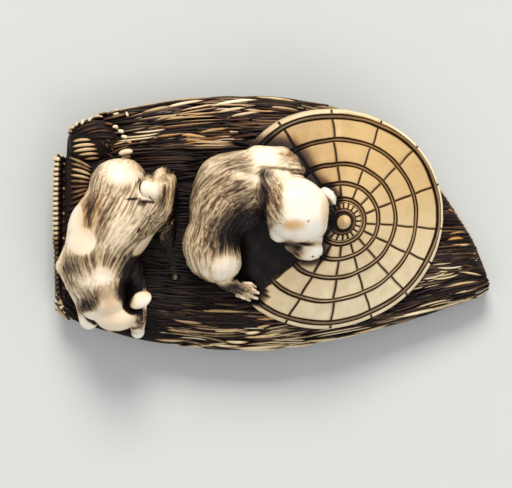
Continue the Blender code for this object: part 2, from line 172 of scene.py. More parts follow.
def tube_grid(sides, rings):
    """A capped cylinder as a mesh, with each vertex's turn round it and its share of the length."""
    bm = bmesh.new()
    bmesh.ops.create_cone(bm, cap_ends=True, segments=sides, radius1=1, radius2=1, depth=1)
    long_edges = [e for e in bm.edges if abs(e.verts[0].co.z - e.verts[1].co.z) > 0.5]
    bmesh.ops.subdivide_edges(bm, edges=long_edges, cuts=rings - 1, use_grid_fill=True)
    bmesh.ops.recalc_face_normals(bm, faces=bm.faces)
    around = np.array([math.atan2(v.co.y, v.co.x) for v in bm.verts])
    along = np.array([v.co.z + 0.5 for v in bm.verts])
    return mesh_from(bm, "grid"), around, along


def places_of(mesh):
    """All vertex places of a mesh, in millimetres."""
    flat = np.empty(len(mesh.vertices) * 3)
    mesh.vertices.foreach_get("co", flat)
    return flat.reshape(-1, 3) / MM


def put_places(mesh, places):
    """Moves all vertices of a mesh to places in millimetres."""
    mesh.vertices.foreach_set("co", (places * MM).ravel())
    mesh.update()


def keep(mesh, name, values):
    """Stores one number for each vertex, for the material to read."""
    layer = mesh.attributes.new(name, "FLOAT", "POINT")
    layer.data.foreach_set("value", np.clip(values, 0, 1).astype(np.float32))


def step_up(value, low, high):
    """0 below low, 1 above high, and a soft step between."""
    t = np.clip((value - low) / (high - low), 0, 1)
    return t * t * (3 - 2 * t)


def grain(places, cell, seed=0):
    """Soft random values from 0 to 1 that change about once in every cell."""
    scaled = places / cell
    low = np.floor(scaled).astype(np.int64)
    part = scaled - low
    part = part * part * (3 - 2 * part)
    total = np.zeros(len(places))
    for corner in np.ndindex(2, 2, 2):
        spot = low + np.array(corner)
        mixed = spot[:, 0] * 73856093 ^ spot[:, 1] * 19349663 ^ spot[:, 2] * 83492791 ^ (seed * 40503)
        mixed = ((mixed ^ (mixed >> 13)) * 1274126177) & 0xFFFFFFFF
        weight = np.prod(np.where(corner, part, 1 - part), axis=1)
        total += weight * ((mixed ^ (mixed >> 16)) & 0xFFFF) / 65535
    return total


def unit(vectors):
    """The vectors at a length of one."""
    return vectors / np.maximum(np.linalg.norm(vectors, axis=-1, keepdims=True), 1e-9)


print("a grid of 8 sides and 6 rings has", len(tube_grid(8, 6)[0].polygons), "faces")

# %% [markdown]
# ## The forms of the puppies
# A puppy is soft, so it is easier to describe by its masses than by its outline: a rump, a loin, a chest, a
# knee. Each mass is an ellipsoid or a tapering limb, and a distance formula lets neighbours flow into one
# another. A small joint size keeps ears and legs crisp, and a larger one lets the body melt together. The
# numbers are millimetres from the puppy's own place on the cape.

# %% The masses of the two puppies
SITTING_PLACE = (-2.0, 0.0, 8.4)
CROUCHING_PLACE = (-17.5, 0.0, 8.4)
BODY_JOINT = 0.38
HEAD_JOINT = 0.26
CRISP_JOINT = 0.08

sitting_body = {
    "rump": ((-4.8, -2.4, 0.9), (3.2, 3.6, 3.9)),
    "knee": ((-4.1, -4.6, 1.2), (2.6, 2.1, 2.9)),
    "loin": ((-4.2, 1.8, 1.3), (3.2, 4.0, 4.0)),
    "back": ((-1.6, 4.4, 1.4), (3.9, 3.5, 4.3)),
    "upper_back": ((-3.7, 4.9, 0.8), (2.6, 2.6, 3.6)),
    "shoulder": ((1.0, 6.4, 2.0), (3.2, 2.0, 2.8)),
    "chest": ((1.8, 4.0, 1.2), (3.6, 3.4, 4.2)),
    "flank": ((-1.6, 1.2, 0.0), (3.2, 3.0, 3.3)),
    "belly": ((-1.9, -1.6, -1.3), (2.4, 2.2, 1.9)),
    "neck": ((2.6, 3.0, 2.6), (2.8, 3.0, 3.0)),
}
sitting_head = {
    "crown": ((4.6, 1.55, 3.9), (3.85, 3.5, 3.5), (0, 0, -28)),
    "brow": ((5.2, -0.3, 3.5), (3.0, 1.9, 2.4)),
    "bridge": ((6.5, -1.75, 2.6), (1.4, 1.6, 1.3)),
    "muzzle": ((6.2, -3.1, 2.2), (1.8, 1.2, 1.3), (0, 0, 8)),
    "cheek": ((4.4, -2.4, 1.8), (1.2, 1.1, 1.2)),
    "near_ear": ((2.8, -1.15, 3.3), (1.05, 1.05, 1.0), (0, 10, 0)),
    "elbow": ((3.8, 6.0, 3.2), (2.1, 1.1, 1.3), (0, 0, -12)),
}
sitting_ears = {
    "far_ear": ((8.25, 2.8, 4.0), (1.3, 0.85, 0.65), (0, 20, -54)),
    "tail": ((-6.5, -4.5, -0.7), (1.0, 1.9, 0.9), (0, 0, 30)),
}
sitting_legs = {
    "hind_foot": ([(-3.4, -6.3, 0.5), (-2.6, -6.9, 0.2), (-1.5, -7.5, 0.1)], [1.0, 0.85, 0.72]),
    "first_toe": ([(-1.3, -6.9, 0.3), (-0.4, -6.95, 0.35), (0.2, -7.2, 0.0)], [0.34, 0.28, 0.2]),
    "second_toe": ([(-1.1, -7.35, 0.3), (-0.2, -7.6, 0.4), (0.5, -7.9, 0.0)], [0.34, 0.29, 0.21]),
    "third_toe": ([(-1.3, -7.85, 0.2), (-0.5, -8.15, 0.3), (0.3, -8.5, -0.1)], [0.34, 0.29, 0.21]),
    "fourth_toe": ([(-1.8, -8.15, 0.1), (-1.1, -8.4, 0.2), (-0.5, -8.7, -0.2)], [0.33, 0.27, 0.2]),
    "far_foreleg": ([(0.5, 6.8, 3.0), (3.0, 7.0, 2.8), (4.7, 6.3, 2.2)], [1.8, 1.45, 1.15]),
    "near_foreleg": ([(2.2, 0.2, 0.9), (3.6, -2.4, 0.4), (4.6, -3.9, 0.2)], [1.7, 1.2, 0.9]),
}
SITTING = [(BODY_JOINT, sitting_body, {}), (HEAD_JOINT, sitting_head, {}),
           (CRISP_JOINT, sitting_ears, sitting_legs)]

crouching_body = {
    "left_haunch": ((0.1, 4.3, 0.8), (3.0, 2.75, 3.5)),
    "right_haunch": ((4.9, 2.7, 0.3), (1.9, 3.6, 3.1), (0, 0, -12)),
    "rump": ((2.2, 2.4, 0.5), (3.2, 2.8, 3.3)),
    "right_of_rump": ((1.2, 4.5, 0.7), (2.0, 2.4, 3.0)),
    "loin": ((0.0, 0.2, 1.0), (4.4, 4.6, 3.9)),
    "shoulders": ((-1.7, -3.3, 0.6), (4.0, 3.8, 3.4)),
    "left_flank": ((-3.3, -1.3, 0.2), (2.1, 3.4, 2.6), (0, 0, 6)),
    "neck": ((-1.5, -5.2, 0.8), (3.0, 2.6, 2.8)),
}
crouching_head = {
    "crown": ((-1.6, -6.3, 1.1), (2.7, 2.6, 2.5)),
    "forehead": ((-1.0, -8.4, 0.6), (2.1, 2.2, 2.1)),
    "muzzle": ((-0.2, -10.65, -0.1), (2.2, 1.6, 1.7), (0, 0, -4)),
    "nose_side": ((2.2, -10.5, -0.8), (1.2, 1.3, 1.2)),
    "left_cheek": ((-2.7, -8.9, -0.3), (1.5, 2.0, 1.6)),
    "left_shoulder": ((-3.9, -5.2, -0.2), (1.9, 3.0, 2.0)),
}
crouching_ears = {
    "right_ear": ((2.6, -8.75, 1.2), (1.4, 0.9, 0.5), (0, -8, 20)),
    "right_ear_tip": ((3.2, -8.3, 1.25), (0.75, 0.6, 0.45)),
    "left_ear": ((-4.0, -7.0, 0.5), (1.2, 2.2, 0.75), (0, -25, 25)),
    "tail": ((3.4, 3.7, 3.1), (0.85, 1.05, 1.15)),
    "tail_end": ((4.3, 3.45, 3.1), (0.8, 1.0, 1.15)),
}
crouching_legs = {
    "left_foreleg": ([(-4.6, -2.6, -0.6), (-5.9, -4.9, -0.9), (-4.9, -7.0, -1.0), (-3.8, -9.0, -1.5),
                      (-3.2, -11.0, -2.0)], [1.2, 0.95, 0.85, 0.85, 1.1]),
    "right_foreleg": ([(1.5, -4.6, -0.8), (2.4, -8.4, -1.8), (2.3, -12.35, -2.8)], [1.5, 1.15, 0.78]),
    "right_hind_foot": ([(5.3, -0.2, -1.1), (6.1, -3.2, -1.9), (6.5, -6.0, -1.9)], [1.5, 0.9, 0.75]),
}
CROUCHING = [(BODY_JOINT, crouching_body, {}), (HEAD_JOINT, crouching_head, {}),
             (CRISP_JOINT, crouching_ears, crouching_legs)]


# %% [markdown]
# A tapering limb has a simple distance formula. An ellipsoid's is estimated from how fast its own equation
# grows. The smaller of two distances would leave a hard crease where the masses cross, so they are joined by
# a soft minimum, which rounds the crease as a carver's scraper does.

# %% Distance formulas for the masses
def blob_distance(at, centre, radii, turn=(0, 0, 0)):
    """About how far each point is outside an ellipsoid."""
    rotation = np.array(Euler([math.radians(a) for a in turn]).to_matrix())
    local = (at - np.array(centre)) @ rotation
    reach = np.linalg.norm(local / radii, axis=1)
    slope = np.linalg.norm(local / np.square(radii), axis=1)
    return reach * (reach - 1) / np.maximum(slope, 1e-9)


def limb_distance(at, a, b, r0, r1):
    """How far each point is outside a tapering length of limb."""
    a, b = np.array(a), np.array(b)
    share = np.clip((at - a) @ (b - a) / np.dot(b - a, b - a), 0, 1)
    return np.linalg.norm(at - a - share[:, None] * (b - a), axis=1) - (r0 + (r1 - r0) * share)


def flow_together(distances, softness):
    """The distance to several masses that flow into one another."""
    nearest = np.min(distances, axis=0)
    return nearest - softness * np.log(np.sum(np.exp((nearest - distances) / softness), axis=0))


def puppy_distance(at, groups):
    """How far each point is outside a puppy."""
    each_group = []
    for softness, blobs, limbs in groups:
        distances = [blob_distance(at, *blob) for blob in blobs.values()]
        for points, radii in limbs.values():
            for i in range(len(points) - 1):
                distances.append(limb_distance(at, points[i], points[i + 1], radii[i], radii[i + 1]))
        each_group.append(flow_together(np.array(distances), softness))
    return flow_together(np.array(each_group), CRISP_JOINT)


probe = np.array([[0.0, 0.0, 0.0]])
print("the middle of a puppy is inside it by", round(-float(puppy_distance(probe, SITTING)[0]), 1), "mm")

# %% [markdown]
# ## Where the stain stays and the shade falls
# Dark stain was rubbed over the whole carving and then polished off, so it is left where a cloth can't
# reach: in the grooves and wherever two forms meet. Shade falls in the same places, and the darkening
# made here paints both the stain and that shade. A vertex is sheltered if something else is close in
# front of it. Stepping out along the normal and asking the distance formulas how near the next form is
# gives that directly for the puppies. The hat and the straws ask the same formulas how near a puppy is.

# %% How sheltered a place is
HAT_PLACE = np.array((7.3, 0.7, 8.0))
HAT_RADIUS = 12.3
HAT_RISE = 4.7
HAT_TILT = math.radians(12.0)
HAT_LEAN = math.radians(-41.0)
RIM_THICKNESS = 1.3
UNDER_DEPTH = 3.2
SHELTER_STEPS = ((0.5, 0.4), (1.2, 0.35), (2.6, 0.25))
hat_turn = np.array(Matrix.Rotation(HAT_TILT, 3, Vector((-math.sin(HAT_LEAN), math.cos(HAT_LEAN), 0))))


def cone(share):
    """The hat's height above its rim at a share of its radius."""
    return HAT_RISE * (1 - share) * (1 + 0.25 * share)


def hat_distance(at):
    """About how far each point is outside the plain hat."""
    local = (at - HAT_PLACE) @ hat_turn
    out = np.hypot(local[:, 0], local[:, 1])
    share = np.clip(out / HAT_RADIUS, 0, 1)
    above = (local[:, 2] - cone(share)) * 0.92
    below = -RIM_THICKNESS - UNDER_DEPTH * step_up(1 - share, 0.1, 0.3) - local[:, 2]
    return np.maximum(np.maximum(above, below), out - HAT_RADIUS)


def carving_distance(at):
    """The distance to the nearest form of the whole carving."""
    cape = (at[:, 2] - cape_top(at[:, 0], at[:, 1])) * 0.85
    cape = np.where(np.abs(at[:, 1]) > 15, 5.0, cape)
    sitting = puppy_distance(at - np.array(SITTING_PLACE), SITTING)
    crouching = puppy_distance(at - np.array(CROUCHING_PLACE), CROUCHING)
    return np.minimum(np.minimum(cape, hat_distance(at)), np.minimum(sitting, crouching))


def shelter(places, normals):
    """From 0 in the open to 1 in a tight corner."""
    closed = np.zeros(len(places))
    for reach, weight in SHELTER_STEPS:
        room = carving_distance(places + normals * reach)
        closed += weight * np.clip(1 - room / reach, 0, 1)
    return closed


print("distance from the hat's knob to the open, mm:",
      round(float(carving_distance(np.array([[8.3, -0.2, 16.0]]))[0]), 2))

# %% [markdown]
# ## Ivory
# Ivory is warm white, a little translucent and takes a soft shine. Stain turns it tan where it is thin,
# brown where it is thicker, and nearly black in the cuts. One recipe serves all pieces: each vertex's
# number for stain and painted shade runs through a colour ramp, so the ramp alone says how ink on ivory
# looks. The puppies, the hat and the straw each have their own ramp, because they were polished differently.

# %% The ivory recipe
MOTTLING = 0.16


def paint(red, green, blue):
    """A screen colour, 0 to 255, as the linear colour that a shader wants."""
    linear = [((c / 255 + 0.055) / 1.055) ** 2.4 if c > 10 else c / 255 / 12.92 for c in (red, green, blue)]
    return (*linear, 1.0)


def add_node(tree, kind, inputs, **options):
    """Adds a shader node with its own options and the values of its inputs."""
    node = tree.nodes.new(kind)
    for option, value in options.items():
        setattr(node, option, value)
    for which, value in inputs.items():
        node.inputs[which].default_value = value
    return node


def ivory(name, shades, warm_shade, gloss, specular):
    """Stained ivory. shades are (stain and painted shade, colour) from bare to darkest."""
    material = bpy.data.materials.new(name)
    material.use_nodes = True
    tree = material.node_tree
    shader = tree.nodes["Principled BSDF"]
    where = add_node(tree, "ShaderNodeTexCoord", {})
    stain_and_shade = add_node(tree, "ShaderNodeAttribute", {}, attribute_name="stain_and_shade")
    warm = add_node(tree, "ShaderNodeAttribute", {}, attribute_name="warm")

    mottle = add_node(tree, "ShaderNodeTexNoise", {"Scale": 900.0, "Detail": 4.0})
    uneven = add_node(tree, "ShaderNodeMath", {1: MOTTLING}, operation="MULTIPLY_ADD")
    shift = add_node(tree, "ShaderNodeMath", {1: MOTTLING / 2}, operation="SUBTRACT")
    ramp = add_node(tree, "ShaderNodeValToRGB", {})
    stops = ramp.color_ramp.elements
    stops.remove(stops[1])
    for i, (amount, shade) in enumerate(shades):
        stop = stops[0] if i == 0 else stops.new(amount)
        stop.position = amount
        stop.color = shade
    age = add_node(tree, "ShaderNodeMix", {"B": warm_shade}, data_type="RGBA", blend_type="MULTIPLY")
    shine = add_node(tree, "ShaderNodeMapRange", {"To Min": gloss, "To Max": gloss + 0.18})
    fine = add_node(tree, "ShaderNodeTexNoise", {"Scale": 3200.0})
    pores = add_node(tree, "ShaderNodeBump", {"Strength": 0.12, "Distance": 0.00008})

    for source, output, target, socket in (
            (where, "Object", mottle, "Vector"), (mottle, "Fac", uneven, 0), (stain_and_shade, "Fac", uneven, 2),
            (uneven, 0, shift, 0), (shift, 0, ramp, "Fac"), (warm, "Fac", age, "Factor"),
            (ramp, "Color", age, "A"), (age, "Result", shader, "Base Color"), (stain_and_shade, "Fac", shine, "Value"),
            (shine, "Result", shader, "Roughness"), (where, "Object", fine, "Vector"),
            (fine, "Fac", pores, "Height"), (pores, "Normal", shader, "Normal")):
        tree.links.new(source.outputs[output], target.inputs[socket])

    shader.inputs["Specular IOR Level"].default_value = specular
    shader.inputs["Subsurface Weight"].default_value = 0.12
    shader.inputs["Subsurface Radius"].default_value = (0.9, 0.6, 0.35)
    shader.inputs["Subsurface Scale"].default_value = 0.0006
    return material


polished_ivory = ivory(
    "polished_ivory",
    [(0.0, paint(250, 243, 226)), (0.22, paint(226, 208, 176)), (0.42, paint(168, 146, 112)),
     (0.66, paint(88, 70, 54)), (0.9, paint(24, 17, 14))],
    paint(246, 200, 140), 0.24, 0.2)
hat_ivory = ivory(
    "hat_ivory",
    [(0.0, paint(248, 230, 191)), (0.25, paint(200, 176, 136)), (0.5, paint(120, 97, 70)),
     (0.75, paint(56, 38, 25)), (1.0, paint(14, 8, 6))],
    paint(211, 191, 160), 0.30, 0.2)
straw_ivory = ivory(
    "straw_ivory",
    [(0.0, paint(248, 236, 208)), (0.25, paint(208, 186, 140)), (0.5, paint(114, 86, 60)),
     (0.75, paint(46, 32, 25)), (1.0, paint(12, 7, 6))],
    paint(240, 190, 138), 0.32, 0.15)
print("materials:", polished_ivory.name, hat_ivory.name, straw_ivory.name)


# %% [markdown]
# Every piece ends the same way: its stain and painted shade and its warmth are stored on the mesh, it gets its
# ivory, and it is tied to the imported solid. It stays at the origin, with its place in its mesh.

# %% Finish a piece
def finish_piece(name, mesh, material, stain_and_shade, warm):
    """Makes the object, gives it its finish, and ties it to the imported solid."""
    keep(mesh, "stain_and_shade", stain_and_shade)
    keep(mesh, "warm", warm)
    mesh.name = name
    mesh.materials.clear()
    mesh.materials.append(material)
    mesh.shade_smooth()
    obj = add_object(name, mesh)
    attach(obj, "root")
    mesh.calc_loop_triangles()
    print(f"{name}: {len(mesh.loop_triangles)} triangles")
    return obj


# %% [markdown]
# ## The cape's body
# The cape is a folded mat of straw. Its body is the section line swept from the collar to the point, sunk
# by the height of a straw, with shallow furrows so that the gaps between the straws aren't smooth. The cord
# channel is a ring half sunk in the underside: a Boolean cuts it, as a drill did on the real one.

# %% Sweep the cape and cut the cord channel
STRAW_HEIGHT = 0.42
CHANNEL_RADIUS = 1.6
CHANNEL_BEND = 4.5
CHANNEL_X, CHANNEL_Y = 1.5, -1.0
body_mesh, around, along = tube_grid(260, 200)
x = FAR_EDGE[0][0] + (FAR_EDGE[-1][0] - FAR_EDGE[0][0]) * (0.3 * along + 0.7 * along**2)
flat_side = cape_point(x, around)[:, 2] <= 1e-6
furrow_lane = around * 26 + 1.2 * np.sin(x * 0.35 + 3 * around)
furrow = 0.5 + 0.5 * np.cos(furrow_lane * 2 * np.pi)
body_places = cape_point(x, around, np.where(flat_side, 0.0, STRAW_HEIGHT + 0.12 * furrow))
body_places[:, 2] += np.where(flat_side, 0.10 * step_up(furrow, 0.45, 0.9), 0.0)
put_places(body_mesh, body_places)

channel_bm = bmesh.new()
ring = bmesh.ops.create_circle(channel_bm, segments=24, radius=CHANNEL_RADIUS * MM)["verts"]
bmesh.ops.rotate(channel_bm, verts=ring, matrix=Matrix.Rotation(math.pi / 2, 3, "X"))
bmesh.ops.translate(channel_bm, verts=ring, vec=(CHANNEL_BEND * MM, 0, 0))
bmesh.ops.spin(channel_bm, geom=channel_bm.verts[:] + channel_bm.edges[:], axis=(0, 0, 1), cent=(0, 0, 0),
               angle=math.tau, steps=48, use_merge=True)
bmesh.ops.remove_doubles(channel_bm, verts=channel_bm.verts, dist=1e-6)
bmesh.ops.rotate(channel_bm, verts=channel_bm.verts, matrix=Matrix.Rotation(math.pi / 2, 3, "X"))
bmesh.ops.translate(channel_bm, verts=channel_bm.verts, vec=(CHANNEL_X * MM, CHANNEL_Y * MM, 0))
bmesh.ops.recalc_face_normals(channel_bm, faces=channel_bm.faces)
channel_mesh = mesh_from(channel_bm, "cord_channel")


def cut_away(mesh, cutter_mesh):
    """Cuts one mesh out of another and gives back the new mesh."""
    target = add_object("target", mesh)
    cutter = add_object("cutter", cutter_mesh)
    cut = target.modifiers.new("cut", "BOOLEAN")
    cut.operation = "DIFFERENCE"
    cut.object = cutter
    graph = bpy.context.evaluated_depsgraph_get()
    result = bpy.data.meshes.new_from_object(target.evaluated_get(graph))
    bpy.data.objects.remove(target)
    bpy.data.objects.remove(cutter)
    return result


body_mesh = cut_away(body_mesh, channel_mesh)
places = places_of(body_mesh)
from_bend = np.hypot(places[:, 0] - CHANNEL_X, places[:, 2]) - CHANNEL_BEND
inside_channel = np.hypot(from_bend, places[:, 1] - CHANNEL_Y) < CHANNEL_RADIUS + 0.1
underneath = places[:, 2] < 0.3
stain_and_shade = np.where(underneath, 0.16 + 2.6 * places[:, 2], 0.86)
stain_and_shade = np.where(inside_channel, 0.45, stain_and_shade) + 0.2 * (grain(places, 1.4) - 0.5)
cape_body = finish_piece("cape_body", body_mesh, straw_ivory, stain_and_shade, 0.4 * grain(places, 6.0, 3))
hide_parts("netsuke")

# %% [markdown]
# ## Straw
# Up close the cape is hundreds of straws, each a long low ridge that comes to a point at both ends. One
# straw is a six-sided grid with a few dozen faces. It is copied many times in one mesh, and every copy is
# bent to lie along the cape at its own depth. Straws lie in locks of four that share their bend and their
# wear, because a carver cuts a lock at a time. They all run from the collar to the point, and where the
# cape's slanting edge crosses them they are cut off blunt.

# %% Lay many copies of one straw
STRAW_RINGS = 9
THINNEST_END = 0.03
AHEAD = 0.02
ABOVE_TABLE = 0.03


def bend_straws(name, path, half_width, half_height, stain_of, warm, blunt=0.55, cut_end=None, sides=6):
    """Bends one straw along each path. path(share) gives each straw's middle, its sideways direction and
    its upward direction. stain_of(crown) gives the stain for how near a vertex is to the straw's crown."""
    count = len(half_width)
    one, around, along = tube_grid(sides, STRAW_RINGS)
    bm = bmesh.new()
    for _ in range(count):
        bm.from_mesh(one)
    mesh = mesh_from(bm, name)
    places = np.empty((count, len(along), 3))
    stain_and_shade = np.empty((count, len(along)))
    for share in np.unique(np.round(along, 6)):
        ring = np.abs(along - share) < 1e-5
        middle, side, up = path(share)
        taper = np.full(count, max(THINNEST_END, max(0.0, 1 - (2 * share - 1) ** 2) ** blunt))
        if cut_end is not None and share > 0.5:
            taper = np.where(cut_end, np.maximum(taper, 0.8), taper)
        width = (half_width * taper)[:, None, None] * np.cos(around[ring])[None, :, None]
        height = (half_height * taper)[:, None, None] * np.sin(around[ring])[None, :, None]
        places[:, ring] = middle[:, None] + side[:, None] * width + up[:, None] * height
        stain_and_shade[:, ring] = stain_of(np.clip(np.sin(around[ring]), 0, 1)[None, :] * taper[:, None])
    places, stain_and_shade = places.reshape(-1, 3), stain_and_shade.ravel()
    places[:, 2] = np.maximum(places[:, 2], ABOVE_TABLE)
    put_places(mesh, places)
    stain_and_shade += 0.14 * (grain(places, 0.5, 5) - 0.5)
    return finish_piece(name, mesh, straw_ivory, stain_and_shade, np.repeat(warm, len(along)))


def frames(before, here, after, surface_up):
    """The middle, sideways and upward directions of straws from three points along them."""
    ahead = unit(after - before)
    side = unit(np.cross(surface_up, ahead))
    return here, side, np.cross(ahead, side)


def spots(x, y, marks, edge=1.5):
    """Oval marks: each is x, y, half length, half width, turn in degrees, strength and perhaps its own edge
    number. A higher edge number gives a flatter middle and a sharper edge."""
    total = np.zeros(np.shape(x))
    for mark_x, mark_y, long_half, wide_half, turn, strength, *own_edge in marks:
        c, s = math.cos(math.radians(turn)), math.sin(math.radians(turn))
        dx, dy = x - mark_x, y - mark_y
        reach = ((dx * c + dy * s) / long_half) ** 2 + ((dy * c - dx * s) / wide_half) ** 2
        total += strength * np.exp(-reach ** (own_edge[0] if own_edge else edge))
    return total


def cape_up(x, angle):
    """The direction straight out of the cape's surface."""
    along_x = cape_point(x + 0.05, angle) - cape_point(x - 0.05, angle)
    along_angle = cape_point(x, angle + 0.01) - cape_point(x, angle - 0.01)
    return unit(np.cross(along_angle, along_x))


# %% [markdown]
# On the upper side each lock gets a place, a lane between the near edge and a guide line, a length, a slant, a
# bend and a depth, all drawn at random. It is more likely to be pale inside a few ovals, which stand where the
# carving was polished most.

# %% The straws on the cape's upper side
rng = np.random.default_rng(11)
LOCKS, IN_LOCK = 560, 4
STRAW_SPACING = 0.36
lock_x = rng.uniform(-21.5, 24.0, LOCKS)
lock_lane = rng.uniform(0.0, 1.0, LOCKS)
LIGHT_PLACES = [
    (-8.4, 9.5, 4.6, 1.1, -5, 0.5), (-4.0, 13.6, 8.0, 0.9, 0, 0.55), (4.0, 13.4, 5.0, 0.8, -10, 0.4),
    (-16.5, 12.0, 3.5, 1.0, 15, 0.3), (-4.5, -12.4, 8.0, 1.3, 0, 0.50), (-1.0, -13.9, 9.0, 1.3, 0, 1.0),
    (10.0, -12.5, 9.0, 1.0, 12, 0.45), (21.5, -8.6, 4.0, 0.9, 12, 0.3), (21.3, -2.0, 1.5, 0.8, 0, 0.3),
]


def members(values, spread):
    """Repeats a lock's value for its straws, with a small difference for each."""
    return np.repeat(values, IN_LOCK) + rng.normal(0, 1, LOCKS * IN_LOCK) * spread


near, guide = smooth_line(NEAR_EDGE, lock_x), smooth_line(STRAW_GUIDE, lock_x)
place_in_lock = np.tile(np.arange(IN_LOCK) - (IN_LOCK - 1) / 2, LOCKS) * STRAW_SPACING
x0 = members(lock_x, 0.8)
lane = members(lock_lane, 0.002) + place_in_lock / np.repeat(guide - near, IN_LOCK)
lane = np.clip(lane, 0.004, 0.996)
length = members(rng.uniform(3.5, 9.0, LOCKS), 0.6)
slant = members(rng.normal(0, 0.55, LOCKS), 0.12)
bend = members(rng.normal(0, 0.75, LOCKS), 0.08)
sink = members(rng.uniform(0.18, 0.46, LOCKS), 0.03)
lock_y = near + lock_lane * (guide - near)
lock_light = spots(lock_x, lock_y, LIGHT_PLACES)
polished = rng.random(LOCKS) < 0.10 + lock_light
lock_worn = np.where(polished, rng.uniform(0.5, 1.0, LOCKS), rng.uniform(0.0, 0.34, LOCKS))
worn = np.clip(members(lock_worn, 0.16), 0, 1)
warm = np.clip(members(rng.random(LOCKS) * step_up(lock_y, -4, 8), 0.1), 0, 1)
half_width = members(rng.uniform(0.14, 0.26, LOCKS), 0.02)
half_height = rng.uniform(0.24, 0.38, LOCKS * IN_LOCK)
print("straws drawn:", len(half_width), "of which pale:", int((worn > 0.5).sum()))

# %% [markdown]
# A straw runs along its lane until it meets the cape's far edge. Readings along it tell how far that is, so
# that it is cut off blunt there. A straw whose middle would be buried in a puppy, the hat or the collar is
# left out.

# %% Where each straw runs, and which ones show
def lane_place(share, reach=1.0):
    """Where each straw lies at a share of its length, seen from above."""
    t = share * reach - 0.5
    x = np.clip(x0 + length * t, -24.4, FAR_EDGE[-1][0] - 0.1)
    near, guide = smooth_line(NEAR_EDGE, x), smooth_line(STRAW_GUIDE, x)
    y = near + (guide - near) * lane + slant * t + bend * (t * t - 0.25)
    return x, np.maximum(y, near + 0.06)


READINGS = 21
along_straw = [lane_place(share) for share in np.linspace(0, 1, READINGS)]
inside = np.array([y < smooth_line(FAR_EDGE, x) - 0.05 for x, y in along_straw])
reach = np.cumprod(inside, axis=0).sum(axis=0) / READINGS
cut_off = reach < 0.98
x, y = lane_place(0.5 * reach)
middle = np.stack([x, y, cape_top(x, y)], axis=1)
buried = np.minimum(puppy_distance(middle - np.array(SITTING_PLACE), SITTING),
                    puppy_distance(middle - np.array(CROUCHING_PLACE), CROUCHING))
in_collar = (x - length * reach / 2 < -19.5) & (y > -8) | (np.hypot((x + 20) / 3.6, (y - 9.5) / 3.0) < 1)
shown = (reach > 0.25) & (hat_distance(middle) > -1.0) & (buried > -0.7) & ~in_collar
print("straws that show:", int(shown.sum()))
# Straws close to a puppy are kept dark, as stain and painted shade in the hollows beside the puppies.
worn = worn * step_up(buried, 0.5, 2.0)
x0, lane, length, slant, bend, sink = (values[shown] for values in (x0, lane, length, slant, bend, sink))
reach, cut_off, worn, warm = (values[shown] for values in (reach, cut_off, worn, warm))
half_width, half_height = half_width[shown], half_height[shown]


def lane_path(share):
    """The middle and the directions of each upper straw at a share of its length."""
    def at(share):
        x, y = lane_place(share, reach)
        return x, cape_angle(x, y)
    before, here, after = (cape_point(*at(share + step), sink) for step in (-AHEAD, 0, AHEAD))
    return frames(before, here, after, cape_up(*at(share)))


straws = bend_straws("straws", lane_path, half_width, half_height,
                     lambda crown: 0.95 - worn[:, None] * step_up(crown, 0.35, 0.9), warm, cut_end=cut_off)

# %% [markdown]
# The sides carry fewer straws, placed by their angle round the section. Those near the widest line are paler,
# because fingers and the sash rub there first.

# %% The straws on the cape's sides
SIDE_STRAWS = 460
SIDE_SINK = 0.34
x0 = rng.uniform(-21.0, 23.5, SIDE_STRAWS)
far_side = rng.random(SIDE_STRAWS) < 0.5
below = rng.uniform(-0.12, 0.95, SIDE_STRAWS)
angle0 = np.where(far_side, -below, math.pi + below)
length = rng.uniform(3.5, 8.0, SIDE_STRAWS)
slant = rng.normal(0, 0.05, SIDE_STRAWS)
half_width = rng.uniform(0.16, 0.26, SIDE_STRAWS)
half_height = rng.uniform(0.2, 0.32, SIDE_STRAWS)
light = 0.25 + 0.45 * (below < 0.15)
polished = rng.random(SIDE_STRAWS) < light
worn = np.where(polished, rng.uniform(0.5, 1.0, SIDE_STRAWS), rng.uniform(0, 0.3, SIDE_STRAWS))
warm = 0.5 * rng.random(SIDE_STRAWS) * far_side


def side_path(share):
    """The middle and the directions of each side straw at a share of its length."""
    def at(share):
        x = np.clip(x0 + length * (share - 0.5), -24.3, FAR_EDGE[-1][0] - 0.3)
        return x, angle0 + slant * (share - 0.5)
    before, here, after = (cape_point(*at(share + step), SIDE_SINK) for step in (-AHEAD, 0, AHEAD))
    return frames(before, here, after, cape_up(*at(share)))


side_straws = bend_straws("side_straws", side_path, half_width, half_height,
                          lambda crown: 0.9 - worn[:, None] * step_up(crown, 0.3, 0.9), warm)

# %% [markdown]
# ## The collar
# At the neck the cape is gathered and bound. The left edge is a cord wound tightly round the straw, so it
# shows as short bars. At the far corner the end of the collar is folded over as a small pillow with raised
# cords across it, and oversewn along its border with stitches like grains of rice. Beside the binding the
# gathered straw fans out under the puppy. The binding is the grid again, wrapped round a path and drawn in
# at each gap between two turns of the cord.

# %% The wound cord on the collar's edge
COLLAR_PATH = [(-23.9, 7.6, 4.2), (-24.25, 6.9, 4.3), (-24.35, 3.5, 4.5), (-24.35, -0.5, 4.6),
               (-24.35, -4.5, 4.4), (-24.2, -7.9, 3.9), (-23.6, -9.5, 3.6), (-22.3, -10.5, 3.3)]
WINDING_PITCH = 0.558


def path_places(path, share):
    """Smooth points along a path at many shares of its length."""
    knots = np.linspace(0, 1, len(path))
    return np.stack([smooth_line(list(zip(knots, axis)), share) for axis in zip(*path)], axis=-1)


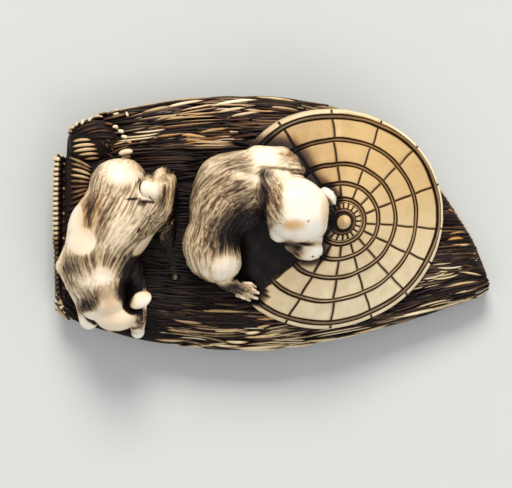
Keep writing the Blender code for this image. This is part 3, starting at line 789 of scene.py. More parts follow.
def cord_mesh(path, sides, rings):
    """A grid wrapped round a path, with directions for pushing its surface in and out."""
    mesh, around, along = tube_grid(sides, rings)
    middle = path_places(path, along)
    before, after = np.maximum(along - 0.01, 0), np.minimum(along + 0.01, 1)
    ahead = unit(path_places(path, after) - path_places(path, before))
    side = unit(np.cross(ahead, np.array((0.0, 0.0, 1.0))))
    up = np.cross(side, ahead)
    out = side * np.cos(around)[:, None] + up * np.sin(around)[:, None]
    walk = path_places(path, np.linspace(0, 1, 400))
    run = np.concatenate([[0], np.cumsum(np.linalg.norm(np.diff(walk, axis=0), axis=1))])
    return mesh, middle, out, np.interp(along, np.linspace(0, 1, 400), run)


binding_mesh, middle, out, run = cord_mesh(COLLAR_PATH, 22, 290)
turn = (run / WINDING_PITCH) % 1.0
gap = np.exp(-((turn - 0.5) / 0.16) ** 2)
body_hides = step_up(middle[:, 1], -3.4, -2.0)
thick = 0.60 - 0.17 * (1 - body_hides) * step_up(middle[:, 1], -9.5, -8.5)
binding_places = middle + out * (thick - 0.17 * gap)[:, None]
put_places(binding_mesh, binding_places)
inner = step_up(out[:, 0], 0.05, 0.45)
beside_puppy = (1 - step_up(middle[:, 1], -3.0, -0.6)) * step_up(middle[:, 1], -9.4, -8.4)
stain_and_shade = 0.16 + 0.75 * gap + 0.8 * inner + 0.40 * beside_puppy + 0.12 * (grain(binding_places, 0.7, 1) - 0.5)
collar_binding = finish_piece("collar_binding", binding_mesh, straw_ivory, stain_and_shade, np.full(len(stain_and_shade), 0.08))

# %% [markdown]
# The folded corner is a ball pressed to a rounded square, like a small cushion, and stained nearly black. The
# raised cords and the stitches lie on it, so it also gives them a height to follow.

# %% The folded corner
PILLOW_CENTRE = (-20.1, 9.15, 4.9)
PILLOW_HALF = (2.95, 2.5, 1.7)
SQUARE = 0.8
bm = bmesh.new()
bmesh.ops.create_uvsphere(bm, u_segments=48, v_segments=32, radius=1)
bmesh.ops.scale(bm, vec=[half * MM for half in PILLOW_HALF], verts=bm.verts)
bmesh.ops.translate(bm, vec=[value * MM for value in PILLOW_CENTRE], verts=bm.verts)
pillow_mesh = mesh_from(bm, "collar_fold")
places = (places_of(pillow_mesh) - PILLOW_CENTRE) / PILLOW_HALF
places[:, :2] = rounded(places[:, :2], SQUARE)
places = places * PILLOW_HALF + PILLOW_CENTRE
put_places(pillow_mesh, places)
collar_fold = finish_piece("collar_fold", pillow_mesh, straw_ivory,
                           0.95 + 0.2 * (grain(places, 0.8, 6) - 0.5), np.full(len(places), 0.3))

# %% [markdown]
# A cord or a stitch is one more straw, with eight sides and blunter ends, laid over the cape and the cushion.
# There are few of them, so they are set out one by one, as a carver would. Each row is a start, an end, a half
# width, a stain, a warmth and a bow, in millimetres.

# %% Lay cords over the folded corner
def fold_top(x, y):
    """The height of the cape with the folded corner on it."""
    apart_x = np.abs(x - PILLOW_CENTRE[0]) / PILLOW_HALF[0]
    apart_y = np.abs(y - PILLOW_CENTRE[1]) / PILLOW_HALF[1]
    inside = 1 - apart_x ** (2 / SQUARE) - apart_y ** (2 / SQUARE)
    pillow = PILLOW_CENTRE[2] + PILLOW_HALF[2] * np.sqrt(np.clip(inside, 0, 1)) - 9 * (inside <= 0)
    return np.maximum(pillow, cape_top(x, y) - 0.30)


def place_cords(name, rows, height, raised, blunt, wider=1.0):
    """Lays one cord for each row over the cape and the folded corner."""
    x_start, y_start, x_end, y_end, half, amount, warmth, bow = np.array(rows, float).T

    def at(share):
        x = x_start + (x_end - x_start) * share
        y = y_start + (y_end - y_start) * share + bow * (1 - (2 * share - 1) ** 2)
        return np.stack([x, y, fold_top(x, y) + raised], axis=-1)

    def path(share):
        here = at(share)
        x, y = here[:, 0], here[:, 1]
        slope_x = (fold_top(x + 0.15, y) - fold_top(x - 0.15, y)) / 0.3
        slope_y = (fold_top(x, y + 0.15) - fold_top(x, y - 0.15)) / 0.3
        steep = np.clip(np.stack([-slope_x, -slope_y], axis=-1), -1.5, 1.5)
        up = unit(np.concatenate([steep, np.ones((len(x), 1))], axis=1))
        ahead = np.stack([x_end - x_start, y_end - y_start, 0 * x], axis=-1)
        ahead = unit(ahead - up * np.sum(ahead * up, axis=1)[:, None])
        side = np.cross(up, ahead)
        return here, side, up

    def stain_of(crown):
        return 0.93 - (0.93 - amount)[:, None] * step_up(crown, 0.15, 0.75)

    return bend_straws(name, path, half * wider, np.full(len(half), height), stain_of, warmth, blunt, sides=8)


print("top of the folded corner, mm:", round(float(fold_top(*PILLOW_CENTRE[:2])), 2))

# %% Stitches, gathered straw and the corner's cords
FOLD_CORDS = [
    (-22.0, 9.9, -18.9, 10.7, 0.16, 0.72, 0.3, 0.25), (-21.2, 9.9, -18.0, 10.2, 0.16, 0.66, 0.3, 0.3),
    (-20.4, 9.5, -17.6, 9.5, 0.15, 0.75, 0.3, 0.2), (-22.3, 10.3, -19.6, 11.2, 0.15, 0.7, 0.3, 0.2),
    (-19.0, 8.9, -17.5, 8.3, 0.15, 0.7, 0.4, 0.15), (-18.9, 7.9, -17.6, 7.1, 0.15, 0.72, 0.4, 0.1),
    (-22.65, 9.13, -20.33, 9.35, 0.2, 0.2, 0.3, 0.14), (-22.7, 8.56, -19.76, 8.79, 0.22, 0.18, 0.3, 0.14),
    (-22.59, 8.05, -19.54, 8.33, 0.22, 0.18, 0.3, 0.12),
    (-22.03, 7.68, -19.42, 7.83, 0.2, 0.24, 0.4, 0.09),
    (-21.35, 7.25, -19.42, 7.37, 0.18, 0.36, 0.5, 0.06), (-18.86, 9.01, -18.52, 8.45, 0.15, 0.5, 0.1, 0),
    (-18.74, 9.41, -18.29, 9.18, 0.12, 0.6, 0.1, 0), (-18.29, 8.45, -17.9, 8.16, 0.12, 0.6, 0.1, 0),
    (-19.28, 9.33, -18.9, 8.32, 0.15, 0.7, 0.3, 0.11),
]
STITCHES = [
    (-23.16, 10.14, -22.48, 10.37, 0.2, 0.3, 0.2, 0), (-23.1, 10.54, -22.25, 10.77, 0.3, 0.08, 0.3, 0),
    (-22.14, 10.82, -21.8, 11.39, 0.23, 0.08, 0.2, 0), (-21.57, 10.99, -21.06, 11.78, 0.27, 0.08, 0.2, 0),
    (-20.78, 11.33, -20.38, 11.95, 0.23, 0.1, 0.2, 0),
    (-20.22, 11.9, -19.08, 11.95, 0.16, 0.15, 0.2, 0.06),
    (-19.65, 12.29, -18.74, 12.46, 0.13, 0.3, 0.2, 0), (-18.07, 12.18, -17.27, 12.35, 0.17, 0.15, 0.1, 0),
    (-17.95, 12.6, -17.27, 12.72, 0.15, 0.15, 0.1, 0), (-16.54, 12.52, -16.26, 11.95, 0.17, 0.05, 0, 0),
    (-18.15, 10.84, -17.33, 10.72, 0.34, 0.02, 0.1, 0), (-17.5, 10.38, -16.68, 10.26, 0.28, 0.06, 0.1, 0),
    (-17.1, 9.75, -16.25, 9.62, 0.26, 0.06, 0.1, 0), (-16.5, 9.22, -15.8, 9.02, 0.21, 0.25, 0.4, 0),
    (-18.97, 11.16, -18.07, 10.99, 0.15, 0.45, 0.5, 0),
]
KNOT_END = [(-17.4, 7.7, -15.6, 8.05, 0.4, 0.06, 0.1, 0.1), (-17.1, 7.25, -15.8, 7.45, 0.3, 0.5, 0.0, 0.0)]
EDGE_BEADS = [(-23.6, y, -23.45, y - 0.42, 0.17, 0.45 + 0.2 * (i % 3), 0.0, 0.0)
              for i, y in enumerate(np.arange(6.9, -8.6, -0.94))]
EDGE_BEADS += [(-23.3, y, -22.2, y + 0.75, 0.17, 0.76, 0.3, 0.0) for y in np.arange(0.1, -8.9, -0.5)]
GATHERED_STRAW = [
    (-23.2, 7.45, -20.26, 6.09, 0.2, 0.35, 0.3, 0.17),
    (-22.98, 6.77, -20.26, 5.75, 0.19, 0.42, 0.3, 0.14),
    (-22.86, 6.09, -20.26, 5.3, 0.22, 0.25, 0.3, 0.14), (-22.98, 5.41, -20.26, 4.85, 0.2, 0.3, 0.3, 0.11),
    (-22.98, 4.73, -20.37, 4.5, 0.2, 0.45, 0.3, 0.06), (-22.98, 4.05, -20.48, 4.16, 0.19, 0.55, 0.4, 0),
    (-22.86, 3.37, -20.6, 3.94, 0.2, 0.45, 0.6, -0.06),
    (-22.75, 2.69, -20.71, 3.6, 0.19, 0.5, 0.6, -0.06),
    (-22.98, 2.01, -20.94, 2.92, 0.18, 0.6, 0.6, -0.06),
    (-23.2, 1.33, -21.28, 2.24, 0.17, 0.7, 0.4, -0.06),
    (-23.32, 0.65, -21.73, 1.56, 0.17, 0.75, 0.4, -0.06),
]
CORNER_CORDS = [
    (-24.51, -7.65, -24.28, -8.56, 0.19, 0.3, 0.1, 0), (-24.05, -8.56, -23.71, -9.47, 0.23, 0.25, 0.1, 0),
    (-24.82, -9.02, -23.09, -10.73, 0.15, 0.3, 0.1, -0.17),
    (-24.57, -9.13, -22.97, -10.16, 0.13, 0.45, 0.1, -0.11),
    (-24.79, -9.7, -22.97, -11.07, 0.14, 0.25, 0, -0.17),
    (-24.11, -9.36, -22.74, -9.82, 0.11, 0.6, 0.1, -0.07),
]
collar_cords = place_cords("collar_cords", FOLD_CORDS + GATHERED_STRAW + EDGE_BEADS + CORNER_CORDS,
                           height=0.28, raised=0.0, blunt=0.5)
collar_stitches = place_cords("collar_stitches", STITCHES, height=0.38, raised=0.15, blunt=0.3)
knot_end = place_cords("knot_end", KNOT_END, height=0.45, raised=0.3, blunt=0.3)

# %% [markdown]
# ## Straws polished bare
# Where the cape stands proud, years of handling polished single straws back to cream. Those that catch the
# eye in the photograph are laid one by one over the others.

# %% The bright straws
BRIGHT_STRAWS = [
    (-15.12, 12.29, -10.83, 13.19, 0.17, 0.3, 0.1, 0.11),
    (-12.63, 12.85, -7.32, 13.87, 0.18, 0.12, 0, 0.11), (-7.55, 12.97, -1.1, 13.87, 0.2, 0.02, 0, 0.23),
    (-6.53, 12.29, -2.68, 12.97, 0.17, 0.15, 0.1, 0.11),
    (-5.4, 11.72, -0.88, 12.52, 0.17, 0.2, 0.2, 0.11), (-12.1, 10.1, -6.4, 9.4, 0.17, 0.2, 0.7, 0.11),
    (-13.77, 9.58, -8.34, 10.03, 0.18, 0.3, 0.8, 0.11),
    (-8.56, 10.03, -4.72, 10.59, 0.17, 0.3, 0.6, 0.11), (-11.3, 9.5, -5.5, 8.8, 0.15, 0.25, 0.9, 0.11),
    (-2.46, 14.21, 3.42, 13.53, 0.15, 0.15, 0.3, 0.11), (-1.1, 13.08, 3.42, 12.52, 0.15, 0.25, 0.4, 0.11),
    (-5.6, -13.3, -2.4, -13.4, 0.18, 0.12, 0.1, -0.1), (-3.2, -12.5, -1.1, -12.3, 0.17, 0.15, 0.1, 0),
    (-1.55, -13.0, 1.3, -12.35, 0.15, 0.25, 0.2, 0), (-2.0, -11.9, 0.05, -11.45, 0.15, 0.25, 0.3, 0),
    (-4.2, -14.2, 1.4, -14.15, 0.17, 0.12, 0.1, -0.1), (0.6, -14.0, 5.4, -13.5, 0.16, 0.15, 0.1, -0.1),
    (-7.6, -13.6, -3.0, -13.9, 0.16, 0.15, 0.1, -0.1), (-13.77, 11.38, -9.24, 12.4, 0.15, 0.3, 0.3, 0.11),
    (-19.42, 11.5, -14.9, 12.52, 0.12, 0.5, 0.3, 0.11), (-9.24, 9.12, -4.49, 9.58, 0.17, 0.5, 0.9, 0.11),
    (-11.73, -10.78, -7.43, -11.34, 0.17, 0.35, 0.3, -0.11),
    (-9.24, -9.99, -1.78, -10.1, 0.17, 0.3, 0.4, 0.11),
    (-13.77, -13.04, -8.56, -13.04, 0.17, 0.3, 0.2, -0.23),
    (-10.6, -13.94, -4.04, -13.38, 0.17, 0.25, 0.1, -0.11),
    (-5.4, -14.06, 2.29, -13.6, 0.18, 0.1, 0.2, -0.23), (-2.01, -10.89, 1.5, -10.66, 0.17, 0.2, 0.8, 0),
    (-7.66, -12.25, -2.23, -11.91, 0.17, 0.3, 0.2, -0.11),
    (12.81, -10.89, 19.82, -9.31, 0.18, 0.08, 0.2, -0.11),
    (3.2, -13.38, 9.3, -12.7, 0.17, 0.15, 0.2, -0.11),
    (8.85, -12.59, 13.82, -11.23, 0.17, 0.2, 0.2, -0.11),
    (-12.41, -11.91, -8.11, -12.36, 0.15, 0.4, 0.2, -0.11),
    (-3.59, -12.93, 1.16, -12.47, 0.15, 0.25, 0.3, -0.11),
    (-12.63, -8.74, -8.11, -9.42, 0.14, 0.55, 0.3, 0), (-6.98, -9.08, -2.91, -9.42, 0.14, 0.55, 0.4, 0),
    (19.82, -1.39, 22.3, -1.17, 0.15, 0.4, 0.6, 0.11), (19.82, -2.01, 21.97, -1.84, 0.2, 0.22, 1, 0.11),
    (19.93, -2.52, 22.98, -2.52, 0.17, 0.25, 0.5, 0), (18.8, -5.24, 21.74, -5.01, 0.13, 0.45, 0.3, 0.11),
    (20.6, -5.5, 24.2, -6.1, 0.12, 0.25, 0.2, 0.11), (18.9, -7.5, 24.0, -6.6, 0.13, 0.25, 0.3, 0.15),
    (19.6, -8.1, 24.3, -7.1, 0.12, 0.3, 0.2, -0.15), (17.2, -9.9, 23.8, -8.0, 0.14, 0.15, 0.2, -0.2),
    (19.93, 1.55, 20.72, 1.1, 0.15, 0.35, 0.8, 0), (20.72, -4.5, 23.6, -5.2, 0.11, 0.6, 0.4, 0),
]
bright_straws = place_cords("bright_straws", BRIGHT_STRAWS, height=0.34, raised=0.05, blunt=0.6, wider=1.3)

# %% [markdown]
# ## The hat
# The hat starts as one section line spun round its axis. Its top is ribbed with five raised cords between
# dark grooves, and fifteen cuts divide the panels. A plain spin would spread the columns evenly, but the
# cuts are thin, so the columns are drawn together near each cut.

# %% The hat's section and its cuts
CORDS = (0.200, 0.337, 0.508, 0.720)
RIM_CORD = 0.938
CUTS = np.radians([-7.0, 17.5, 41.5, 66.0, 94.0, 122.5, 147.0, 172.0, 199.0, 223.0, 244.0, 267.0, 289.5,
                   312.0, 333.0])
COLUMNS = 14
NEXT_TO_CUT = (0.0, 0.055, 0.11, 0.20, 0.30)
CUT_DEPTH = 0.15
KNOB_RADIUS = 0.85
SMALL_PANEL = 18


def bump(off, width):
    """A smooth ridge, 1 in its middle."""
    return np.exp(-(off / width) ** 2)


def hat_relief(share):
    """Height above the plain cone, and stain, at a share of the radius."""
    height = np.full_like(share, 0.02)
    stain_and_shade = np.zeros_like(share)
    for cord in CORDS:
        off = (share - cord) * HAT_RADIUS
        height += 0.16 * bump(off, 0.09) - 0.18 * bump(off + 0.18, 0.07) - 0.22 * bump(off - 0.18, 0.085)
        stain_and_shade += 0.32 * bump(off, 0.12) + 0.85 * bump(off + 0.18, 0.07) + 1.05 * bump(off - 0.18, 0.085)
    off = (share - RIM_CORD) * HAT_RADIUS
    height += 0.12 * step_up(share, RIM_CORD - 0.02, RIM_CORD - 0.01) - 0.20 * bump(off + 0.22, 0.075)
    height -= 0.18 * bump(off - 0.22, 0.075)
    stain_and_shade += 0.40 * bump(off, 0.15) + 1.0 * bump(off + 0.22, 0.095) + 0.95 * bump(off - 0.22, 0.09)
    out = share * HAT_RADIUS
    hub = 1 - step_up(out, 2.08, 2.16)
    ring = 0.14 * bump(out - 1.24, 0.10) - 0.12 * bump(out - 0.95, 0.16) - 0.10 * bump(out - 1.42, 0.07)
    ring_stain = 0.92 * bump(out - 0.96, 0.22) + 0.34 * bump(out - 1.24, 0.09) + 0.9 * bump(out - 1.42, 0.07)
    ring_stain += 0.9 * bump(out - 2.12, 0.07)
    dome = 0.80 * np.sqrt(np.clip(1 - (out / KNOB_RADIUS) ** 2, 0, 1)) - 0.05
    height = height * (1 - hub) + hub * np.where(out < KNOB_RADIUS, dome, ring)
    stain_and_shade = stain_and_shade * (1 - hub) + hub * np.where(out < 0.72, 0.05, ring_stain)
    return height, stain_and_shade


fine = [np.arange(0, 2.2, 0.06) / HAT_RADIUS]
for cord in (*CORDS, RIM_CORD):
    fine.append(cord + np.arange(-0.40, 0.401, 0.045) / HAT_RADIUS)
top_rows = np.unique(np.round(np.concatenate(fine + [np.linspace(0.19, 0.995, 34)]), 4))
under_rows = np.array([(1.0, -0.35), (1.0, -0.7), (0.985, -1.15), (0.95, -1.5), (0.86, -1.95), (0.78, -3.4),
                       (0.70, -5.6), (0.40, -5.6), (0.0, -5.6)])
print("rows of vertices on the hat's top and below it:", len(top_rows), len(under_rows))
rows = len(top_rows) + len(under_rows)
hat_mesh, around, along = tube_grid(len(CUTS) * COLUMNS, rows - 1)
row = np.rint(along * (rows - 1)).astype(int)
share = np.concatenate([top_rows, under_rows[:, 0]])[row]
on_top = row < len(top_rows)
relief, stain_and_shade = hat_relief(share)
height = np.where(on_top, cone(share) + relief, np.concatenate([top_rows, under_rows[:, 1]])[row])
plain_out = out = share * HAT_RADIUS

# %% [markdown]
# Each column of vertices belongs to its nearest cut. The four closest on each side stand at set distances from
# it, in millimetres, so that a cut is equally thin near the knob and at the rim, and the rest share out the
# panel. The cuts wander a little from ring to ring, as a graver does in the hand.

# %% Draw the columns together at the cuts
PANEL_BANDS = ((0.222, 0.315), (0.36, 0.485), (0.53, 0.697), (0.742, 0.915), (0.965, 1.01))
sector = math.tau / len(CUTS)
cell = np.rint(around / sector)
column = np.rint((around - cell * sector) / (sector / COLUMNS))
cell = cell.astype(int) % len(CUTS)
gap_after = (np.roll(CUTS, -1) - CUTS) % math.tau
gap_before = (CUTS - np.roll(CUTS, 1)) % math.tau
half_arc = np.maximum(out * np.where(column > 0, gap_after[cell], gap_before[cell]) / 2, 1e-6)
near_cut = np.minimum(1, half_arc / 0.55)
last_close = len(NEXT_TO_CUT) - 1
close = np.interp(np.abs(column), range(len(NEXT_TO_CUT)), NEXT_TO_CUT) * near_cut
farthest = NEXT_TO_CUT[-1] * near_cut
apart = farthest + (half_arc - farthest) * (np.abs(column) - last_close) / (COLUMNS / 2 - last_close)
off_cut = np.where(np.abs(column) <= last_close, close, apart)
band = np.digitize(share, CORDS)
wander = 0.014 * np.sin(cell * 12.9 + band * 4.1) + 0.006 * np.sin(out * 2.2 + cell * 5)
wander *= 1 - np.abs(column) / (COLUMNS / 2)
angle = CUTS[cell] + np.sign(column) * off_cut / np.maximum(out, 1e-6) + wander
in_panel = np.zeros_like(share)
for low, high in PANEL_BANDS:
    in_panel += step_up(share, low - 0.005, low + 0.005) * (1 - step_up(share, high - 0.005, high + 0.005))
cut = bump(off_cut, 0.10) * in_panel * on_top
small_cell = (np.degrees(angle) - 8) % SMALL_PANEL - SMALL_PANEL / 2
small_cut = bump(np.radians(small_cell) * out, 0.09)
small_cut *= step_up(out, 1.36, 1.44) * (1 - step_up(out, 2.06, 2.12))
cut = np.maximum(cut, small_cut * on_top)
height -= CUT_DEPTH * cut
stain_and_shade = np.maximum(stain_and_shade, 1.02 * cut)
print("narrowest and widest panel, degrees:", *np.degrees([gap_after.min(), gap_after.max()]).round(1))

# %% [markdown]
# A carved hat isn't quite round. This one reaches farther out toward the near left, so each place's distance
# from the axis is multiplied by a growth that depends on its direction, in degrees. HAT_SHADE, read the same
# way, says how much darker each side of the hat is made: most on the left toward the puppies, less on the
# near side, none on the right.

# %% Make the hat a little out of round
HAT_SHADE = [(0, 0), (75, 0.0), (100, 0.1), (125, 0.2), (150, 0.2), (222, 0.2), (240, 0.14), (262, 0.09),
             (290, 0.07), (320, 0.05), (345, 0), (360, 0)]
HAT_GROWTH = [(0, 1.0), (40, 0.99), (66, 0.965), (94, 0.985), (122.5, 1.045), (150, 1.05), (180, 1.06),
              (205, 1.11), (224, 1.155), (232, 1.155), (244, 1.115), (262, 1.07), (276, 1.033),
              (290, 1.005), (305, 1.0), (360, 1.0)]
degrees = np.degrees(angle) % 360
growth = np.interp(degrees, *zip(*HAT_GROWTH))
growth = np.where(growth < 1, 1 + (growth - 1) * step_up(share, CORDS[-1], RIM_CORD), growth)
growth = 1 + (growth - 1) * (1 - 0.2 * step_up(share, 0.75, 1.0))
hand = 0.035 * np.sin(9 * angle + 1.3 * out) + 0.015 * np.sin(17 * angle + 2.1 * out)
hand = hand * np.minimum(1, share**2 * 3) * (1 - step_up(share, 0.93, 0.97))
print("growth of the hat, least and most:", growth.min().round(3), growth.max().round(3))
right_side = step_up(np.cos(angle - math.radians(25)), 0.5, 0.95)
out = out * growth + (hand + 0.28 * right_side * bump(share - RIM_CORD, 0.032)) * on_top

# %% [markdown]
# Between the seated puppy and its hind foot the hat isn't panelled at all. The carver left that part of
# it as a rough hollow, from under the chin to the hat's edge, and it is painted black with stain and painted
# deep shade.

# %% Roughen the hollow and turn the hat
frayed = 1.4 + 0.7 * np.sin(plain_out * 5.0) + 0.5 * np.sin(plain_out * 11.0 + 1)
frayed = frayed + 4.5 * step_up(share, 0.78, 0.86)
hollow = step_up(degrees, 140, 150) * (1 - step_up(degrees, 220.5 + frayed, 223 + frayed))
hollow *= step_up(share, 0.2, 0.3) * on_top
rough = grain(np.stack([out * np.cos(angle), out * np.sin(angle), 0 * out], axis=-1), 1.1, 12)
height -= hollow * (relief - CUT_DEPTH * cut + 0.10 + 0.45 * rough + 0.9 * step_up(share, 0.8, 0.97))
stain_and_shade = stain_and_shade + np.interp(degrees, *zip(*HAT_SHADE))
# The hollow is painted black, as stain and painted deep shade.
stain_and_shade = stain_and_shade + (1.0 - stain_and_shade) * hollow
stain_and_shade = np.where(on_top, stain_and_shade, 0.25 + 0.6 * step_up(1 - share, 0.02, 0.1))
local = np.stack([out * np.cos(angle), out * np.sin(angle), height], axis=-1)
hat_places = local @ hat_turn.T + HAT_PLACE
put_places(hat_mesh, hat_places)

bm = bmesh.new()
bm.from_mesh(hat_mesh)
stain_layer = bm.verts.layers.float.new("stain_and_shade")
for vertex, amount in zip(bm.verts, np.clip(stain_and_shade, 0, 1)):
    vertex[stain_layer] = amount
bmesh.ops.remove_doubles(bm, verts=bm.verts, dist=0.002 * MM)
bmesh.ops.recalc_face_normals(bm, faces=bm.faces)
bm.to_mesh(hat_mesh)
bm.free()
places = places_of(hat_mesh)
hat_stain_and_shade = np.empty(len(places))
hat_mesh.attributes["stain_and_shade"].data.foreach_get("value", hat_stain_and_shade)
hat_mesh.attributes.remove(hat_mesh.attributes["stain_and_shade"])
near_puppy = np.minimum(puppy_distance(places - np.array(SITTING_PLACE), SITTING), 3.0)
reach = 0.9 + 0.9 * step_up(places[:, 1], 0.0, 3.0) * (1 - step_up(places[:, 0], 5.5, 7.5))
# Darker beside the seated puppy, and farther out above its head: stain and painted shade where the hat meets
# the puppy.
hat_stain_and_shade += 0.64 * (1 - step_up(near_puppy / reach, 0.1, 1.0))
hat_stain_and_shade += 0.08 * (grain(places, 0.9, 2) - 0.5)
from_axis = (places - HAT_PLACE) @ hat_turn
edge_band = step_up(np.hypot(from_axis[:, 0], from_axis[:, 1]) / HAT_RADIUS, 0.950, 0.962)
warm = step_up(places[:, 1] + 2.2 * (grain(places, 5.0, 8) - 0.5), -11.0, 6.5)
hat = finish_piece("hat", hat_mesh, hat_ivory, hat_stain_and_shade, warm * (1 - 0.85 * edge_band))

# %% [markdown]
# ## The puppies
# The masses are first put together as overlapping bmesh spheres and cones. A voxel remesh fuses them into
# one skin, its edges above the cape are subdivided to be fine enough for fur, and the distance formula draws
# every vertex onto the smooth shape. Fur is cut as fine lines that follow the lie of the coat. Each vertex
# averages a random grain along the coat's direction: the result changes quickly across the hair and slowly
# along it.

# %% Fuse the masses into a skin
PUPPY_VOXEL = 0.183
SUNK = 0.6
HAIR_CELL, HAIR_REACH, HAIR_DEPTH = 0.145, 1.9, 0.030
LOCK_CELL, LOCK_REACH, LOCK_DEPTH = 0.7, 2.2, 0.018
MARK_DEPTH = 0.12
HAIR_STEPS = 11


def add_blob(bm, centre, radii, turn=(0, 0, 0)):
    """Adds an ellipsoid to a bmesh."""
    made = bmesh.ops.create_uvsphere(bm, u_segments=24, v_segments=14, radius=1)
    angles = [math.radians(a) for a in turn]
    place = Matrix.Translation(centre) @ Euler(angles).to_matrix().to_4x4() @ Matrix.Diagonal((*radii, 1))
    bmesh.ops.transform(bm, matrix=place, verts=made["verts"])


def add_limb(bm, points, radii):
    """Adds a chain of tapering cones with round joints to a bmesh."""
    for (a, b), (r0, r1) in zip(zip(points, points[1:]), zip(radii, radii[1:])):
        a, b = Vector(a), Vector(b)
        add_blob(bm, a, (r0, r0, r0))
        add_blob(bm, b, (r1, r1, r1))
        made = bmesh.ops.create_cone(bm, cap_ends=True, segments=20, radius1=r0, radius2=r1,
                                     depth=(b - a).length)
        turn = Vector((0, 0, 1)).rotation_difference(b - a).to_matrix().to_4x4()
        bmesh.ops.transform(bm, matrix=Matrix.Translation((a + b) / 2) @ turn, verts=made["verts"])


def slope_of(at, groups, step=0.02):
    """The direction in which the distance grows, from four readings."""
    outside = puppy_distance(at, groups)
    nearby = [puppy_distance(at + step * axis, groups) for axis in np.eye(3)]
    return outside, (np.array(nearby).T - outside[:, None]) / step


def puppy_skin(name, place, groups):
    """One closed skin round all masses, drawn onto the smooth shape."""
    bm = bmesh.new()
    for softness, blobs, limbs in groups:
        for blob in blobs.values():
            add_blob(bm, *blob)
        for points, radii in limbs.values():
            add_limb(bm, points, radii)
    bmesh.ops.scale(bm, vec=(MM, MM, MM), verts=bm.verts)
    holder = add_object(name, mesh_from(bm, name))
    fuse = holder.modifiers.new("one skin", "REMESH")
    fuse.mode = "VOXEL"
    fuse.voxel_size = PUPPY_VOXEL * MM
    skin = bpy.data.meshes.new_from_object(holder.evaluated_get(bpy.context.evaluated_depsgraph_get()))
    bpy.data.objects.remove(holder)
    at = places_of(skin) + np.array(place)
    seen = at[:, 2] > cape_top(at[:, 0], at[:, 1]) - SUNK
    bm = bmesh.new()
    bm.from_mesh(skin)
    in_view = [edge for edge in bm.edges if seen[edge.verts[0].index] and seen[edge.verts[1].index]]
    bmesh.ops.subdivide_edges(bm, edges=in_view, cuts=1, use_grid_fill=True)
    bm.to_mesh(skin)
    bm.free()
    at = places_of(skin)
    for _ in range(3):
        outside, slope = slope_of(at, groups)
        at -= slope * (outside / np.maximum(np.sum(slope**2, axis=1), 0.25))[:, None]
    return skin, at, unit(slope_of(at, groups)[1])


print("voxels of a puppy's skin, mm:", PUPPY_VOXEL)

# %% [markdown]
# The coat lies back from the nose and down over the haunches. A few guide strokes, each a place and a
# direction, say so, and every vertex blends the nearest ones. Marks come on top: the carver's darker tones,
# bare places, cuts and warm tints, and a few tones and cuts that paint the shade in hollows. Each is an oval
# with a name, a place, a half length, a half width, a turn, a strength and perhaps an edge number.

# %% Fur along the coat
def coat_direction(at, guides):
    """The lie of the coat at each point, blended from a few guide strokes."""
    total = np.zeros_like(at)
    for place, direction in guides:
        apart = np.sum((at - np.array(place)) ** 2, axis=1)
        total += unit(np.array(direction, float)) * (1 / (apart + 0.6) ** 2)[:, None]
    return unit(total)


def hair_lines(at, normals, guides, cell, reach, seed):
    """Averages a random grain along the coat, so that it streaks into hairs."""
    total = grain(at, cell, seed)
    for way in (-1, 1):
        spot = at.copy()
        for _ in range(HAIR_STEPS):
            lie = coat_direction(spot, guides)
            lie = unit(lie - normals * np.sum(lie * normals, axis=1)[:, None])
            spot = spot + lie * way * reach / HAIR_STEPS
            total += grain(spot, cell, seed)
    streaks = total / (1 + 2 * HAIR_STEPS)
    return (streaks - streaks.mean()) / streaks.std()


def tones(at, marks, edge=1.5):
    """The sum of the named marks of a puppy's coat, at each place."""
    return spots(at[:, 0], at[:, 1], marks.values(), edge)


def make_puppy(name, place, groups, guides, tone_marks, bare_marks, cut_marks, warm_marks):
    """A puppy with its coat, its stain and its painted shade. Tone marks hold more stain, bare marks have no
    fur, and cut marks are sunk and black; a few tone and cut marks paint the shade in a hollow. Steep sides
    get painted shade, and hollows between forms get stain and painted shade."""
    skin, at, normals = puppy_skin(name, place, groups)
    on_cape = at + np.array(place)
    hair = hair_lines(at, normals, guides, HAIR_CELL, HAIR_REACH, 3)
    locks = hair_lines(at, normals, guides, LOCK_CELL, LOCK_REACH, 4)
    furry = np.clip(1 - tones(on_cape, bare_marks, 2.5), 0, 1)
    cuts = np.clip(tones(on_cape, cut_marks), 0, 1)
    fur = np.clip(hair, -2.2, 1.6) * HAIR_DEPTH + np.clip(locks, -1.5, 1.5) * LOCK_DEPTH
    relief = furry * fur - MARK_DEPTH * cuts
    at = at + normals * relief[:, None]
    on_cape = at + np.array(place)
    closed = shelter(on_cape, normals)
    tone = tones(on_cape, tone_marks)
    groove = np.clip(-1.0 * hair - 0.25 * locks, -1.3, 1.5)
    steep = step_up(1 - normals[:, 2], 0.35, 1.1)
    warm = tones(on_cape, warm_marks)
    stain_and_shade = furry * (0.08 + groove * (0.05 + 0.20 * np.minimum(tone, 0.45)))
    stain_and_shade += (0.25 + 0.75 * furry) * tone + 0.25 * warm
    # Painted shade: steep sides and undersides are made darker, and the hollows where forms meet get stain and
    # painted shade together.
    stain_and_shade += (0.04 + 0.18 * furry) * steep + 1.25 * step_up(closed, 0.22, 0.75) + cuts
    put_places(skin, on_cape)
    return finish_piece(name, skin, polished_ivory, stain_and_shade, 0.22 * grain(on_cape, 3.0, 9) + warm)


print("a hair is about", HAIR_CELL, "mm wide and", 2 * HAIR_REACH, "mm long")

# %% [markdown]
# The puppy in the middle sits curled round, with a hind foot by the hat's edge and its head laid on the hat.
# The head is polished to plain cream, the back is striped with hair, and the flank inside the curl is nearly
# black.

